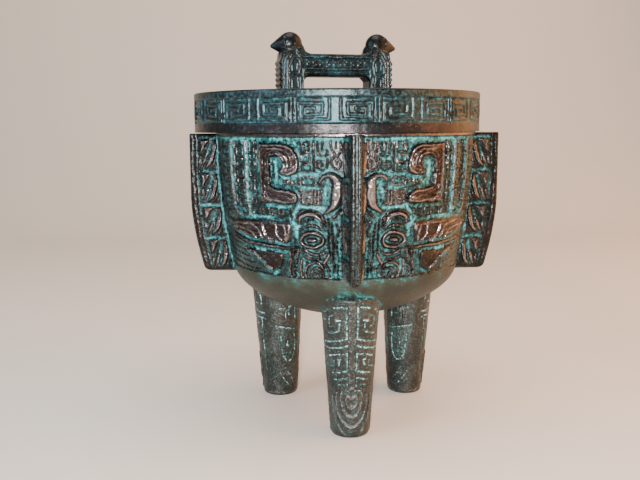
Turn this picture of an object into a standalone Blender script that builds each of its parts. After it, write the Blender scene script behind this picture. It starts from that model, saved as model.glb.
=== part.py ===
# Lidded bronze tripod vessel: a deep round bowl with four upright flanges and cast masks, on three legs,
# and a lid with a key pattern whose handle is a bridge between two birds.
# Metres, +Z up. The origin is on the floor under the middle of the bowl, and the front flange faces -Y.
import bmesh
import bpy
from math import cos, pi, radians, sin, tan
from mathutils import Matrix, Vector

for thing in list(bpy.data.objects):
    bpy.data.objects.remove(thing)

# Bowl
BOWL_LIFT = 0.0640           # lowest point of the bowl above the floor
UNDERSIDE_DEPTH = 0.0370     # plain rounded underside, up to the decorated band
BAND_HEIGHT = 0.0810         # decorated band
RIM_GROOVE = 0.0013          # plain groove between the band and the rim
RIM_HEIGHT = 0.0020
BOWL_RADIUS = 0.0823         # ground of the band at its top
BAND_DRAW_IN = 0.0085        # how much smaller the band's lower edge is
RIM_PROUD = 0.0020           # the rim stands out from the wall
BOWL_WALL = 0.0040
UNDERSIDE_FULLNESS = 1.4     # 2 is an ellipse, less is more pointed
UNDERSIDE_ROWS = 5
BAND_ROWS = 3
BOWL_FACETS = 40
HOLLOW_FACETS = 28

# Masks, one to every second flange, which is its nose
MASK_COUNT = 2
HIGH_RELIEF = 0.0022
MID_RELIEF = 0.0016
RELIEF_ROOT = 0.0012         # how deep the relief is sunk in the wall
EYE_WIDTH = 0.0156
EYE_HEIGHT = 0.0116

# Flanges
FLANGE_REACH = 0.0193        # from the ground of the band's top to the upright outer edge
FLANGE_ROOT = 0.0120         # thickness at the wall
FLANGE_EDGE = 0.0052         # thickness at the outer edge
FLANGE_RISE = 0.0011         # flange's top above the lower edge of the rim
FLANGE_DROP = 0.0070         # how far the side flanges run below the band
NOSE_DROP = 0.0010           # the same for the flanges that are noses
FLANGE_BEND = 0.0485         # the outer edge draws in from this height above the side flanges' lower end
FLANGE_DRAW_IN = 0.0084
FLANGE_ROWS = 4
FLANGE_CORNER = 0.0030
FLANGE_CELLS = 4
FLANGE_BORDER = 0.0055       # plain strip along the outer edge
FLANGE_RELIEF = 0.0010

# Legs
LEG_COUNT = 3
LEG_INSET = 0.0221           # foot centres inside the band's lower edge
LEG_SHOULDER = 0.0122        # leg's top above the place where its middle meets the bowl
LEG_SPLAY = 1.2              # degrees that the legs lean out towards the bowl
FOOT_RADIUS = 0.0117
LEG_TOP_RADIUS = 0.0179
FOOT_CHAMFER = 0.0014
LEG_FACETS = 16
LEG_RELIEF = 0.0009
LEG_BAR = 0.0052             # width of the plain bar down the front of a leg
LEG_LINE = 0.0020            # width of the raised lines beside it
LEG_KEY = 0.0105             # width of a key beside it
LEG_KEY_PITCH = 0.0040
FOOT_ARC = 0.0075            # radius of the arc above the foot

# Lid
LID_OVERHANG = 0.0097        # lid's side beyond the ground of the band
LID_HEIGHT = 0.0241
LID_WALL = 0.0040
LID_CROWN = 0.0040           # thickness of the top
LID_LEDGE = 0.0035           # ledge that rests on the rim
RING_DEPTH = 0.0060          # locating ring, below the ledge
RING_WALL = 0.0030
LID_PLAY = 0.0060            # between the locating ring and the bowl, all round
LID_SIDE_GAP = 0.0006        # what is left of the play where the lid has slid to
SEAT_GAP = 0.0003
LID_TURN = 13.9              # degrees from the front flange's side to the handle
LID_LOWER_BAND = 0.0054
LID_UPPER_BAND = 0.0040
LID_FIELD_SUNK = 0.0008
KEY_PAIRS = 12
KEY_TURN = 12.6              # degrees from the handle to a pair of keys
KEY_LINE = 0.0014
KEY_MARGIN = 0.0006
KEY_PITCH = 0.0038
KEY_GAP = 0.0023             # from the middle of a pair to the first line
LID_FACETS = 4 * KEY_PAIRS

# Handle
BRIDGE_HALF_SPAN = 0.0219    # from the middle to the inner side of a post
POST_WIDTH = 0.0153
HANDLE_DEPTH = 0.0160
FINGER_GAP = 0.0108          # from the lid to the bar
BAR_HEIGHT = 0.0142
GAP_CORNER = 0.0020          # cut corner between a post and the bar
HANDLE_OFFSET = 0.0016       # how far the handle was set off the lid's middle
HANDLE_ROOT = 0.0010         # how deep the posts are sunk in the lid
HANDLE_EDGE = 0.0012         # rounding of the edges
SCALLOP = 0.0011             # how far a scallop stands out from the chest
SCALLOP_COUNT = 5
HANDLE_RELIEF = 0.0006
RIDGE_WIDTH = 0.0013
WING_WIDTH = 0.0056
WING_LENGTH = 0.0135
LOZENGE_COUNT = 7
LOZENGE_WIDTH = 0.0040
LOZENGE_HEIGHT = 0.0032

# Bird heads
HEAD_RADIUS = 0.0080
HEAD_RISE = 0.0138           # top of the head above the bar
HEAD_WIDTH = 0.0134
HEAD_EDGE = 0.0028           # rounding of the head's and neck's sides
HEAD_POINTS = 9
NECK_ROOT = 0.0060           # how deep the neck is sunk in the bar
BEAK_REACH = 0.0130          # beak's tip from the middle of the head
BEAK_DIP = 94                # degrees from straight up

BAND_BOTTOM = BOWL_LIFT + UNDERSIDE_DEPTH
BAND_TOP = BAND_BOTTOM + BAND_HEIGHT
RIM_BOTTOM = BAND_TOP + RIM_GROOVE
RIM_TOP = RIM_BOTTOM + RIM_HEIGHT
LID_BOTTOM = RIM_TOP + SEAT_GAP
LID_TOP = LID_BOTTOM + LID_HEIGHT
LID_RADIUS = BOWL_RADIUS + LID_OVERHANG
BAR_TOP = LID_TOP + FINGER_GAP + BAR_HEIGHT
FLANGE_COUNT = 2 * MASK_COUNT
HALF_MASK = 360 / FLANGE_COUNT
LEG_RING = BOWL_RADIUS - BAND_DRAW_IN - LEG_INSET
WELD = 0.000001
TOOL_DEPTH = 2               # thickness of a flat shape that is moved to its place afterwards
FLAT_ANGLE = radians(1)      # faces that meet flatter than this are one face
SHARP_ANGLE = radians(32)


# Flat shapes

def band(path, width):
    """Outline of a stroke along a path. Width is one number, or one for each point of the path."""
    widths = width if isinstance(width, (list, tuple)) else [width] * len(path)
    left = []
    right = []
    for i, point in enumerate(path):
        before = Vector(path[max(i - 1, 0)])
        here = Vector(point)
        after = Vector(path[min(i + 1, len(path) - 1)])
        into = (here - before).normalized() if i > 0 else (after - here).normalized()
        out = (after - here).normalized() if i < len(path) - 1 else into
        along = (into + out).normalized()
        side = Vector((-along.y, along.x))
        reach = widths[i] / 2 / max(along.dot(into), 0.5)
        left.append(tuple(here + side * reach))
        right.append(tuple(here - side * reach))
    return left + right[::-1]


def ellipse(centre, across, up, count):
    """Closed outline of an ellipse, given by its half axes."""
    turns = [2 * pi * i / count for i in range(count)]
    return [(centre[0] + across * cos(a), centre[1] + up * sin(a)) for a in turns]


def square_spiral(left, bottom, width, height, pitch, sides):
    """Path of a key: down the left side, along the bottom and on inwards."""
    low = Vector((left, bottom))
    high = Vector((left + width, bottom + height))
    path = [(low.x, high.y)]
    for i in range(sides):
        turn = i % 4
        if turn == 0:
            path.append((low.x, low.y))
            low.x += pitch
        elif turn == 1:
            path.append((high.x, low.y))
            low.y += pitch
        elif turn == 2:
            path.append((high.x, high.y))
            high.x -= pitch
        else:
            path.append((low.x, high.y))
            high.y -= pitch
    return path


def mirrored(outlines):
    return [[(-x, y) for x, y in outline] for outline in outlines]


# Meshes and objects

def add_object(name, mesh, group):
    thing = bpy.data.objects.new(name, mesh)
    group.objects.link(thing)
    return thing


def plain_mesh(thing):
    """The object's evaluated shape as a mesh of its own, its corners welded and its flat faces whole."""
    bpy.context.view_layer.update()
    shape = thing.evaluated_get(bpy.context.evaluated_depsgraph_get())
    mesh = bpy.data.meshes.new_from_object(shape)
    edit = bmesh.new()
    edit.from_mesh(mesh)
    bmesh.ops.remove_doubles(edit, verts=edit.verts, dist=WELD)
    bmesh.ops.dissolve_limit(edit, angle_limit=FLAT_ANGLE, verts=edit.verts, edges=edit.edges)
    bmesh.ops.recalc_face_normals(edit, faces=edit.faces)
    edit.to_mesh(mesh)
    edit.free()
    return mesh


def plate(name, outlines, thickness, chamfer=0):
    """Flat outlines filled and given a thickness, half of it on each side of their plane."""
    curve = bpy.data.curves.new(name, "CURVE")
    curve.dimensions = "2D"
    curve.fill_mode = "BOTH"
    curve.extrude = thickness / 2 - chamfer
    curve.bevel_depth = chamfer
    curve.bevel_resolution = 0
    curve.offset = -chamfer
    for outline in outlines:
        spline = curve.splines.new("POLY")
        spline.points.add(len(outline) - 1)
        for point, (x, y) in zip(spline.points, outline):
            point.co = (x, y, 0, 1)
        spline.use_cyclic_u = True
    guide = add_object(name, curve, tools)
    mesh = plain_mesh(guide)
    bpy.data.objects.remove(guide)
    return mesh


def turned(name, profile, facets):
    """A solid turned about Z from a profile that runs down its outer side."""
    mesh = bpy.data.meshes.new(name)
    points = [(radius, 0, height) for radius, height in profile]
    mesh.from_pydata(points, [(i, i + 1) for i in range(len(points) - 1)], [])
    guide = add_object(name, mesh, tools)
    screw = guide.modifiers.new("Turn", "SCREW")
    screw.steps = facets
    screw.render_steps = facets
    screw.use_merge_vertices = True
    screw.merge_threshold = WELD
    shape = plain_mesh(guide)
    bpy.data.objects.remove(guide)
    return shape


def split_upright(mesh, places):
    """Cuts a mesh along upright planes and into triangles, so that it can follow a round wall."""
    edit = bmesh.new()
    edit.from_mesh(mesh)
    for place in places:
        parts_now = edit.verts[:] + edit.edges[:] + edit.faces[:]
        bmesh.ops.bisect_plane(edit, geom=parts_now, dist=WELD, plane_co=(place, 0, 0), plane_no=(1, 0, 0))
    bmesh.ops.triangulate(edit, faces=edit.faces)
    edit.to_mesh(mesh)
    edit.free()


def reshape(mesh, rule):
    """Moves every corner to where the rule says."""
    for vertex in mesh.vertices:
        vertex.co = rule(vertex.co)


def joined(name, meshes):
    """One mesh of several that don't touch."""
    edit = bmesh.new()
    for mesh in meshes:
        edit.from_mesh(mesh)
    result = bpy.data.meshes.new(name)
    bmesh.ops.recalc_face_normals(edit, faces=edit.faces)
    edit.to_mesh(result)
    edit.free()
    return result


def placed(mesh, matrix):
    copy = mesh.copy()
    copy.transform(matrix)
    return copy


def on_both_faces(mesh):
    """A mesh and its mirror image on the other side of the XZ plane."""
    return joined(mesh.name, [mesh, placed(mesh, Matrix.Scale(-1, 4, (0, 1, 0)))])


def repeated(mesh, count, first=0):
    """Copies of a mesh turned evenly about Z."""
    turns = [Matrix.Rotation(first + 2 * pi * i / count, 4, "Z") for i in range(count)]
    return joined(mesh.name, [placed(mesh, turn) for turn in turns])


def combine(target, mesh, name, operation):
    """Adds or cuts a tool, which stays as a wire guide in the tools' collection."""
    tool = add_object(name, mesh, tools)
    tool.hide_render = True
    tool.display_type = "WIRE"
    change = target.modifiers.new(name, "BOOLEAN")
    change.operation = operation
    change.solver = "EXACT"
    change.object = tool


def relief(name, height, outlines, radius_at, unit_radius, facets):
    """Raised outlines wrapped round the wall's front. X is an arc at the unit radius, Y the height."""
    mesh = plate(name, outlines, TOOL_DEPTH)
    facet = unit_radius * 2 * pi / facets
    reach = max(abs(x) for outline in outlines for x, y in outline)
    count = int(reach / facet) + 1
    split_upright(mesh, [facet * i for i in range(-count, count + 1)])

    def wrap(co):
        turn = co.x / unit_radius
        radius = radius_at(co.y) + (height if co.z > 0 else -RELIEF_ROOT)
        return (radius * sin(turn), -radius * cos(turn), co.y)

    reshape(mesh, wrap)
    return mesh


def metal(name, colour, roughness):
    material = bpy.data.materials.new(name)
    material.use_nodes = True
    shader = material.node_tree.nodes["Principled BSDF"]
    shader.inputs["Base Color"].default_value = (*colour, 1)
    shader.inputs["Metallic"].default_value = 0.8
    shader.inputs["Roughness"].default_value = roughness
    return material


def finish(thing, material):
    """Keeps the evaluated shape as the object's own mesh, with smooth round faces."""
    mesh = plain_mesh(thing)
    thing.modifiers.clear()
    thing.data = mesh
    mesh.materials.clear()
    mesh.materials.append(material)
    mesh.shade_smooth()
    mesh.set_sharp_from_angle(angle=SHARP_ANGLE)


# Bowl

def wall_radius(height):
    """Ground of the decorated band, drawn in towards the underside."""
    depth = (BAND_TOP - height) / BAND_HEIGHT
    return BOWL_RADIUS - BAND_DRAW_IN * max(depth, 0) ** 2


def underside(radius, depth, bottom):
    """Profile of the rounded underside, from its upper edge to the middle."""
    points = []
    for i in range(UNDERSIDE_ROWS):
        share = sin(pi / 2 * i / UNDERSIDE_ROWS)
        points.append((radius * (1 - share ** 2) ** (1 / UNDERSIDE_FULLNESS), bottom + depth * (1 - share)))
    return points + [(0, bottom)]


def underside_height(radius):
    """Height of the underside at a distance from the axis."""
    share = (1 - (radius / wall_radius(BAND_BOTTOM)) ** UNDERSIDE_FULLNESS) ** 0.5
    return BOWL_LIFT + UNDERSIDE_DEPTH * (1 - share)


def band_heights():
    return [BAND_TOP - BAND_HEIGHT * i / BAND_ROWS for i in range(BAND_ROWS)]


def bowl_body():
    rim = BOWL_RADIUS + RIM_PROUD
    profile = [(0, RIM_TOP), (rim, RIM_TOP), (rim, RIM_BOTTOM), (BOWL_RADIUS, RIM_BOTTOM)]
    profile += [(wall_radius(z), z) for z in band_heights()]
    profile += underside(wall_radius(BAND_BOTTOM), UNDERSIDE_DEPTH, BOWL_LIFT)
    return turned("bowl profile", profile, BOWL_FACETS)


def bowl_hollow():
    top = RIM_TOP + RIM_HEIGHT
    profile = [(0, top), (BOWL_RADIUS - BOWL_WALL, top)]
    profile += [(wall_radius(z) - BOWL_WALL, z) for z in band_heights()]
    inner = wall_radius(BAND_BOTTOM) - BOWL_WALL
    profile += underside(inner, UNDERSIDE_DEPTH - BOWL_WALL, BOWL_LIFT + BOWL_WALL)
    return turned("bowl hollow", profile, HOLLOW_FACETS)


# Masks. Angles are degrees from the nose on a quarter of the bowl, and heights are shares of the band.

def mask_point(angle, share):
    return (BOWL_RADIUS * radians(angle * HALF_MASK / 90), BAND_BOTTOM + BAND_HEIGHT * share)


def mask_stroke(points):
    """A stroke through points given as angle, share of the band and width in millimetres."""
    path = [mask_point(angle, share) for angle, share, width in points]
    return band(path, [width / 1000 for angle, share, width in points])


def mask_high():
    """Horn, brow, cheek and claw."""
    horn = [(22.0, 0.605, 2.5), (28.0, 0.60, 9.0), (38.3, 0.59, 7.5), (38.3, 0.93, 7.5),
            (29.0, 0.935, 7.5), (25.6, 0.86, 8.5), (29.0, 0.785, 7.5)]
    brow = [(13.0, 0.755, 1.5), (9.4, 0.745, 4.5), (7.6, 0.66, 5.4), (8.2, 0.56, 5.0), (11.8, 0.50, 1.5)]
    cheek = [(27.5, 0.345, 12.5), (44.0, 0.345, 14.5), (57.0, 0.35, 13.0), (67.0, 0.37, 3.0)]
    claw = [(54.5, 0.215, 1.5), (45.0, 0.17, 8.0), (38.5, 0.05, 2.0)]
    return [mask_stroke(points) for points in (horn, brow, cheek, claw)]


def mask_mid():
    """Upright ridges, eyebrow, nostril, mouth and eye."""
    inner_ridge = [(48.0, 0.455, 3.4), (48.0, 0.985, 3.4)]
    outer_ridge = [(58.0, 0.985, 4.2), (58.0, 0.56, 4.2), (52.5, 0.47, 3.0)]
    side_ridge = [(75.0, 0.985, 3.4), (75.0, 0.53, 3.4), (75.0, 0.10, 3.4)]
    eyebrow = [(11.8, 0.39, 1.6), (14.5, 0.475, 3.2), (20.5, 0.485, 3.2), (24.6, 0.44, 1.8)]
    nostril = [(8.4, 0.45, 2.4), (8.8, 0.23, 2.8), (6.9, 0.02, 2.4)]
    mouth = [(11.5, 0.04, 2.4), (13.5, 0.145, 3.4), (20.5, 0.155, 3.4), (25.0, 0.05, 2.4)]
    strokes = (inner_ridge, outer_ridge, side_ridge, eyebrow, nostril, mouth)
    centre = mask_point(17.3, 0.295)
    eye = [ellipse(centre, EYE_WIDTH / 2, EYE_HEIGHT / 2, 10)]
    eyeball = [ellipse(centre, EYE_WIDTH * 0.32, EYE_HEIGHT * 0.29, 8)]
    return [mask_stroke(points) for points in strokes] + eye + eyeball


def masks():
    layers = []
    for height, outlines in ((HIGH_RELIEF, mask_high()), (MID_RELIEF, mask_mid())):
        both = outlines + mirrored(outlines)
        layers.append(relief("mask layer", height, both, wall_radius, BOWL_RADIUS, BOWL_FACETS))
    return repeated(joined("masks", layers), MASK_COUNT)


# Flanges, made in the XZ plane and turned to their places

def flange_thickness(radius):
    share = (radius - BOWL_RADIUS) / FLANGE_REACH
    return FLANGE_ROOT + (FLANGE_EDGE - FLANGE_ROOT) * share


def flange_radius(height):
    """Outer edge of a flange, upright above and drawn in below."""
    share = (FLANGE_BEND - (height - BAND_BOTTOM + FLANGE_DROP)) / FLANGE_BEND
    return BOWL_RADIUS + FLANGE_REACH - FLANGE_DRAW_IN * max(share, 0) ** 1.7


def flange_outline(drop):
    top = RIM_BOTTOM + FLANGE_RISE
    bottom = BAND_BOTTOM - drop
    root = wall_radius(bottom) - BOWL_WALL / 2
    bend = BAND_BOTTOM - FLANGE_DROP + FLANGE_BEND
    step = (bend - bottom - FLANGE_CORNER) / FLANGE_ROWS
    heights = [bend - step * i for i in range(FLANGE_ROWS + 1)]
    edge = [(flange_radius(z), z) for z in [top] + heights]
    return [(root, top)] + edge + [(flange_radius(bottom) - FLANGE_CORNER, bottom), (root, bottom)]


def flange(drop):
    body = plate("flange", [flange_outline(drop)], TOOL_DEPTH)
    reshape(body, lambda co: (co.x, co.z * flange_thickness(co.x) / TOOL_DEPTH, co.y))
    return body


def flange_leaves():
    """A hanging leaf in each cell, on both faces."""
    outlines = []
    pitch = BAND_HEIGHT / FLANGE_CELLS
    for cell in range(FLANGE_CELLS):
        low = BAND_BOTTOM + pitch * cell
        ground = wall_radius(low + pitch / 2)
        depth = flange_radius(low + pitch / 2) - FLANGE_BORDER - ground
        middle = ground + depth * 0.55
        tip = (middle + depth * 0.10, low + pitch * 0.90)
        inner = (middle - depth * 0.22, low + pitch * 0.34)
        heel = (middle - depth * 0.05, low + pitch * 0.08)
        outer = (middle + depth * 0.20, low + pitch * 0.30)
        outlines.append([tip, inner, heel, outer])
    leaves = plate("leaves", outlines, TOOL_DEPTH)

    def stand(co):
        face = flange_thickness(co.x) / 2
        return (co.x, face + (FLANGE_RELIEF if co.z > 0 else -FLANGE_RELIEF), co.y)

    reshape(leaves, stand)
    return on_both_faces(leaves)


# Legs, made upright about Z with their carving to the front

def leg_height():
    return underside_height(LEG_RING) + LEG_SHOULDER


def leg_radius(height):
    return FOOT_RADIUS + (LEG_TOP_RADIUS - FOOT_RADIUS) * height / leg_height()


def leg_body():
    profile = [(0, leg_height()), (LEG_TOP_RADIUS, leg_height()), (leg_radius(FOOT_CHAMFER), FOOT_CHAMFER)]
    profile += [(FOOT_RADIUS - FOOT_CHAMFER, 0), (0, 0)]
    return turned("leg", profile, LEG_FACETS)


def leg_point(angle, share):
    return (LEG_TOP_RADIUS * radians(angle), leg_height() * share)


def leg_relief():
    """A plain bar between square keys, with an arc above the foot."""
    bar = band([leg_point(0, 0.36), leg_point(0, 0.94)], LEG_BAR)
    side = [band([leg_point(13, 0.69), leg_point(48, 0.645)], LEG_LINE)]
    for bottom, top in ((0.72, 0.925), (0.49, 0.615)):
        left, low = leg_point(14, bottom)
        key = square_spiral(left, low, LEG_KEY, leg_height() * (top - bottom), LEG_KEY_PITCH, 3)
        side.append(band(key, LEG_LINE))
    turns = [radians(205 + 130 * i / 3) for i in range(4)]
    middle = leg_height() * 0.20
    arc = band([(FOOT_ARC * cos(a), middle + FOOT_ARC * 4 / 3 * sin(a)) for a in turns], LEG_LINE)
    outlines = [bar, arc] + side + mirrored(side)
    return relief("leg relief", LEG_RELIEF, outlines, leg_radius, LEG_TOP_RADIUS, LEG_FACETS)


def under_the_bowl(mesh):
    """Leans a leg outwards and stands one like it at each place."""
    lean = Matrix.Identity(4)
    lean[1][2] = -tan(radians(LEG_SPLAY))
    return repeated(placed(mesh, Matrix.Translation((0, -LEG_RING, 0)) @ lean), LEG_COUNT)


# Lid

def lid_body():
    field = LID_RADIUS - LID_FIELD_SUNK
    low = LID_BOTTOM + LID_LOWER_BAND
    high = LID_TOP - LID_UPPER_BAND
    ring = BOWL_RADIUS - BOWL_WALL - LID_PLAY
    ring_bottom = LID_BOTTOM - RING_DEPTH
    ledge = LID_BOTTOM + LID_LEDGE
    inner = LID_RADIUS - LID_WALL
    ceiling = LID_TOP - LID_CROWN
    profile = [(0, LID_TOP), (field, LID_TOP), (LID_RADIUS, LID_TOP - LID_FIELD_SUNK)]
    profile += [(LID_RADIUS, high), (field, high), (field, low), (LID_RADIUS, low)]
    profile += [(LID_RADIUS, LID_BOTTOM), (ring, LID_BOTTOM), (ring, ring_bottom)]
    profile += [(ring - RING_WALL, ring_bottom), (ring - RING_WALL, ledge)]
    profile += [(inner, ledge), (inner, ceiling), (0, ceiling)]
    return placed(turned("lid profile", profile, LID_FACETS), Matrix.Rotation(radians(KEY_TURN), 4, "Z"))


def lid_keys():
    """The key pattern, in mirrored pairs round the lid."""
    field = LID_RADIUS - LID_FIELD_SUNK
    low = LID_BOTTOM + LID_LOWER_BAND + KEY_MARGIN + KEY_LINE / 2
    high = LID_TOP - LID_UPPER_BAND - KEY_MARGIN - KEY_LINE / 2
    width = pi * field / KEY_PAIRS - 2 * KEY_GAP
    key = [band(square_spiral(KEY_GAP, low, width, high - low, KEY_PITCH, 4), KEY_LINE)]
    pair = relief("keys", LID_FIELD_SUNK, key + mirrored(key), lambda height: field, field, LID_FACETS)
    return repeated(pair, KEY_PAIRS, radians(KEY_TURN))


# Handle, made about the lid's middle with the bar along X

def bridge_outline():
    """Side view of the two posts and the bar, with scallops down each bird's chest."""
    gap_top = LID_TOP + FINGER_GAP
    floor = LID_TOP - HANDLE_ROOT
    chest = BRIDGE_HALF_SPAN + POST_WIDTH
    half = [(BRIDGE_HALF_SPAN - GAP_CORNER, gap_top), (BRIDGE_HALF_SPAN, gap_top - GAP_CORNER)]
    half += [(BRIDGE_HALF_SPAN, floor), (chest, floor)]
    step = (FINGER_GAP + BAR_HEIGHT) * 0.8 / SCALLOP_COUNT
    for i in range(SCALLOP_COUNT):
        low = LID_TOP + step * (i + 0.2)
        half += [(chest, low), (chest + SCALLOP, low + step / 2)]
    half += [(chest - SCALLOP, BAR_TOP - 2 * SCALLOP), (BRIDGE_HALF_SPAN - SCALLOP, BAR_TOP)]
    return half + mirrored([half])[0][::-1]


def head_centre():
    return (BRIDGE_HALF_SPAN + POST_WIDTH / 2, BAR_TOP + HEAD_RISE - HEAD_RADIUS)


def bird_outline():
    """Neck and head from the side, with the hollow curve down to the bar."""
    across, up = head_centre()
    nape = across - HEAD_RADIUS * 1.55
    throat = across + HEAD_RADIUS * 0.82
    foot = BAR_TOP - NECK_ROOT
    head = []
    for i in range(HEAD_POINTS):
        turn = radians(195 - 210 * i / (HEAD_POINTS - 1))
        head.append((across + HEAD_RADIUS * cos(turn), up + HEAD_RADIUS * sin(turn)))
    back = [(nape, foot), (nape, BAR_TOP), (across - HEAD_RADIUS * 1.16, BAR_TOP + HEAD_RADIUS * 0.28)]
    return back + head + [(throat, BAR_TOP - HEAD_RADIUS * 0.19), (throat, foot)]


def beak():
    """A pointed beak that grows out of the head."""
    edit = bmesh.new()
    bmesh.ops.create_cone(edit, cap_ends=True, segments=8, radius1=HEAD_RADIUS * 0.84,
                          radius2=HEAD_RADIUS * 0.06, depth=BEAK_REACH)
    mesh = bpy.data.meshes.new("beak")
    edit.to_mesh(mesh)
    edit.free()
    across, up = head_centre()
    place = Matrix.Translation((across + BEAK_REACH / 2, 0, up - HEAD_RADIUS * 0.06))
    mesh.transform(place @ Matrix.Rotation(radians(BEAK_DIP), 4, "Y"))
    return mesh


def upright(mesh):
    """Stands a flat plate up, its front towards -Y."""
    return placed(mesh, Matrix.Rotation(pi / 2, 4, "X"))


def handle_relief():
    """Wings, ridges and lozenges on both faces of the bridge."""
    outlines = []
    for i in range(LOZENGE_COUNT):
        across = 2 * BRIDGE_HALF_SPAN * ((i + 0.5) / LOZENGE_COUNT - 0.5) * 0.85
        centre = (across, BAR_TOP - BAR_HEIGHT * 0.42)
        outlines.append(ellipse(centre, LOZENGE_WIDTH / 2, LOZENGE_HEIGHT / 2, 4))
    root = BRIDGE_HALF_SPAN + POST_WIDTH * 0.30
    wing = [(root, BAR_TOP - RIDGE_WIDTH - WING_LENGTH * share) for share in (0, 0.55, 1)]
    side = [band(wing, [WING_WIDTH * 0.2, WING_WIDTH, WING_WIDTH * 0.35])]
    for share in (0.66, 0.84):
        across = BRIDGE_HALF_SPAN + POST_WIDTH * share
        ridge = [(across, LID_TOP + RIDGE_WIDTH), (across, BAR_TOP - 2 * RIDGE_WIDTH)]
        side.append(band(ridge, RIDGE_WIDTH))
    face = plate("handle relief", outlines + side + mirrored(side), TOOL_DEPTH)

    def stand(co):
        return (co.x, -HANDLE_DEPTH / 2 + (-HANDLE_RELIEF if co.z > 0 else HANDLE_RELIEF), co.y)

    reshape(face, stand)
    return on_both_faces(face)


# Pieces

def make_bowl():
    bowl = add_object("tripod_bowl", bowl_body(), parts)
    front = -pi / 2
    side = front + radians(HALF_MASK)
    combine(bowl, repeated(flange(NOSE_DROP), MASK_COUNT, front), "noses", "UNION")
    combine(bowl, repeated(flange(FLANGE_DROP), MASK_COUNT, side), "side flanges", "UNION")
    combine(bowl, under_the_bowl(leg_body()), "legs", "UNION")
    combine(bowl, masks(), "masks", "UNION")
    combine(bowl, repeated(flange_leaves(), FLANGE_COUNT, front), "leaves", "UNION")
    combine(bowl, under_the_bowl(leg_relief()), "leg relief", "UNION")
    combine(bowl, bowl_hollow(), "hollow", "DIFFERENCE")
    finish(bowl, metal("Patinated bronze", (0.035, 0.045, 0.040), 0.42))


def make_lid():
    lid = add_object("lid", lid_body(), parts)
    combine(lid, lid_keys(), "keys", "UNION")
    offset = Matrix.Translation((-HANDLE_OFFSET, 0, 0))
    bridge = upright(plate("bridge", [bridge_outline()], HANDLE_DEPTH, HANDLE_EDGE))
    combine(lid, placed(bridge, offset), "bridge", "UNION")
    for facing in (0, pi):
        turn = offset @ Matrix.Rotation(facing, 4, "Z")
        neck = upright(plate("neck", [bird_outline()], HEAD_WIDTH, HEAD_EDGE))
        combine(lid, placed(neck, turn), "neck", "UNION")
        combine(lid, placed(beak(), turn), "beak", "UNION")
    combine(lid, placed(handle_relief(), offset), "handle relief", "UNION")
    finish(lid, metal("Patinated bronze of the lid", (0.045, 0.050, 0.042), 0.40))
    slid = Matrix.Translation((-(LID_PLAY - LID_SIDE_GAP), 0, 0))
    lid.data.transform(slid @ Matrix.Rotation(radians(LID_TURN), 4, "Z"))


parts = bpy.data.collections.new("Tripod vessel")
tools = bpy.data.collections.new("Tools and guides")
for group in (parts, tools):
    bpy.context.scene.collection.children.link(group)
make_bowl()
make_lid()
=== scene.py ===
from math import cos, pi, radians, sin, tan

import bmesh
import bpy
import numpy as np
from mathutils import Matrix, Vector


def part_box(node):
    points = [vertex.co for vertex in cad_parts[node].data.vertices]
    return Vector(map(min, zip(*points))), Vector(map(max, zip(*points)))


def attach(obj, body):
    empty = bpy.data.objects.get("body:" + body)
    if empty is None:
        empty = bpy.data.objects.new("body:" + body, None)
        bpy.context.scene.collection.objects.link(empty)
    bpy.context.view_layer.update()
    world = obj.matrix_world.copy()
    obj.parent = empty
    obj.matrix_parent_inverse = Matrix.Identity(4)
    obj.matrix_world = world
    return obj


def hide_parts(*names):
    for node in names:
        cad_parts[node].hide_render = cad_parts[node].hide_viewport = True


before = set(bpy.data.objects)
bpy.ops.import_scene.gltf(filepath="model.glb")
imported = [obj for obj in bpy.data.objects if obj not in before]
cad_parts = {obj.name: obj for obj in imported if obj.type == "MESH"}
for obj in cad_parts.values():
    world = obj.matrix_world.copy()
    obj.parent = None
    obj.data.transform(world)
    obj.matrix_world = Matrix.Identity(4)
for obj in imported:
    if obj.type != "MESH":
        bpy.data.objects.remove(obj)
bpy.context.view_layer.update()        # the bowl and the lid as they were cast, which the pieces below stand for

mm = 0.001
bowlHigh, lidHigh = [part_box(node)[1].z / mm for node in ("tripod_bowl", "lid")]
print("frame: bowl up to %.1f mm, lid up to %.1f mm" % (bowlHigh, lidHigh))


# Camera at the photograph's place: low in front, a little to the left of the front flange

view = {
    "place": (-32.6, -512.4, 190.7),  # mm
    "yaw": 0.0312,    # radians to the right of straight ahead
    "pitch": 0.1494,  # radians down
    "roll": -0.0049,
    "lens": 43.47,    # mm, on a sensor 36 mm wide
}


def makeCamera(name, s):
    ahead = Vector((sin(s["yaw"]) * cos(s["pitch"]), cos(s["yaw"]) * cos(s["pitch"]), -sin(s["pitch"])))
    level = Vector((cos(s["yaw"]), -sin(s["yaw"]), 0))
    above = level.cross(ahead)
    right = level * cos(s["roll"]) + above * sin(s["roll"])
    turn = Matrix((right, right.cross(ahead), -ahead)).transposed()
    lens = bpy.data.cameras.new(name)
    lens.lens = s["lens"]
    lens.sensor_width = 36
    lens.clip_start = 0.01
    camera = bpy.data.objects.new(name, lens)
    camera.matrix_world = Matrix.Translation(Vector(s["place"]) * mm) @ turn.to_4x4()
    bpy.context.scene.collection.objects.link(camera)
    bpy.context.scene.camera = camera


makeCamera("camera", view)
print("camera is in place")


# Materials

def linear(hexColour):  # an sRGB hex value as the shader wants it
    parts = [int(hexColour[i:i + 2], 16) / 255 for i in (1, 3, 5)]
    return [c / 12.92 if c <= 0.04045 else ((c + 0.055) / 1.055) ** 2.4 for c in parts] + [1]


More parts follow.
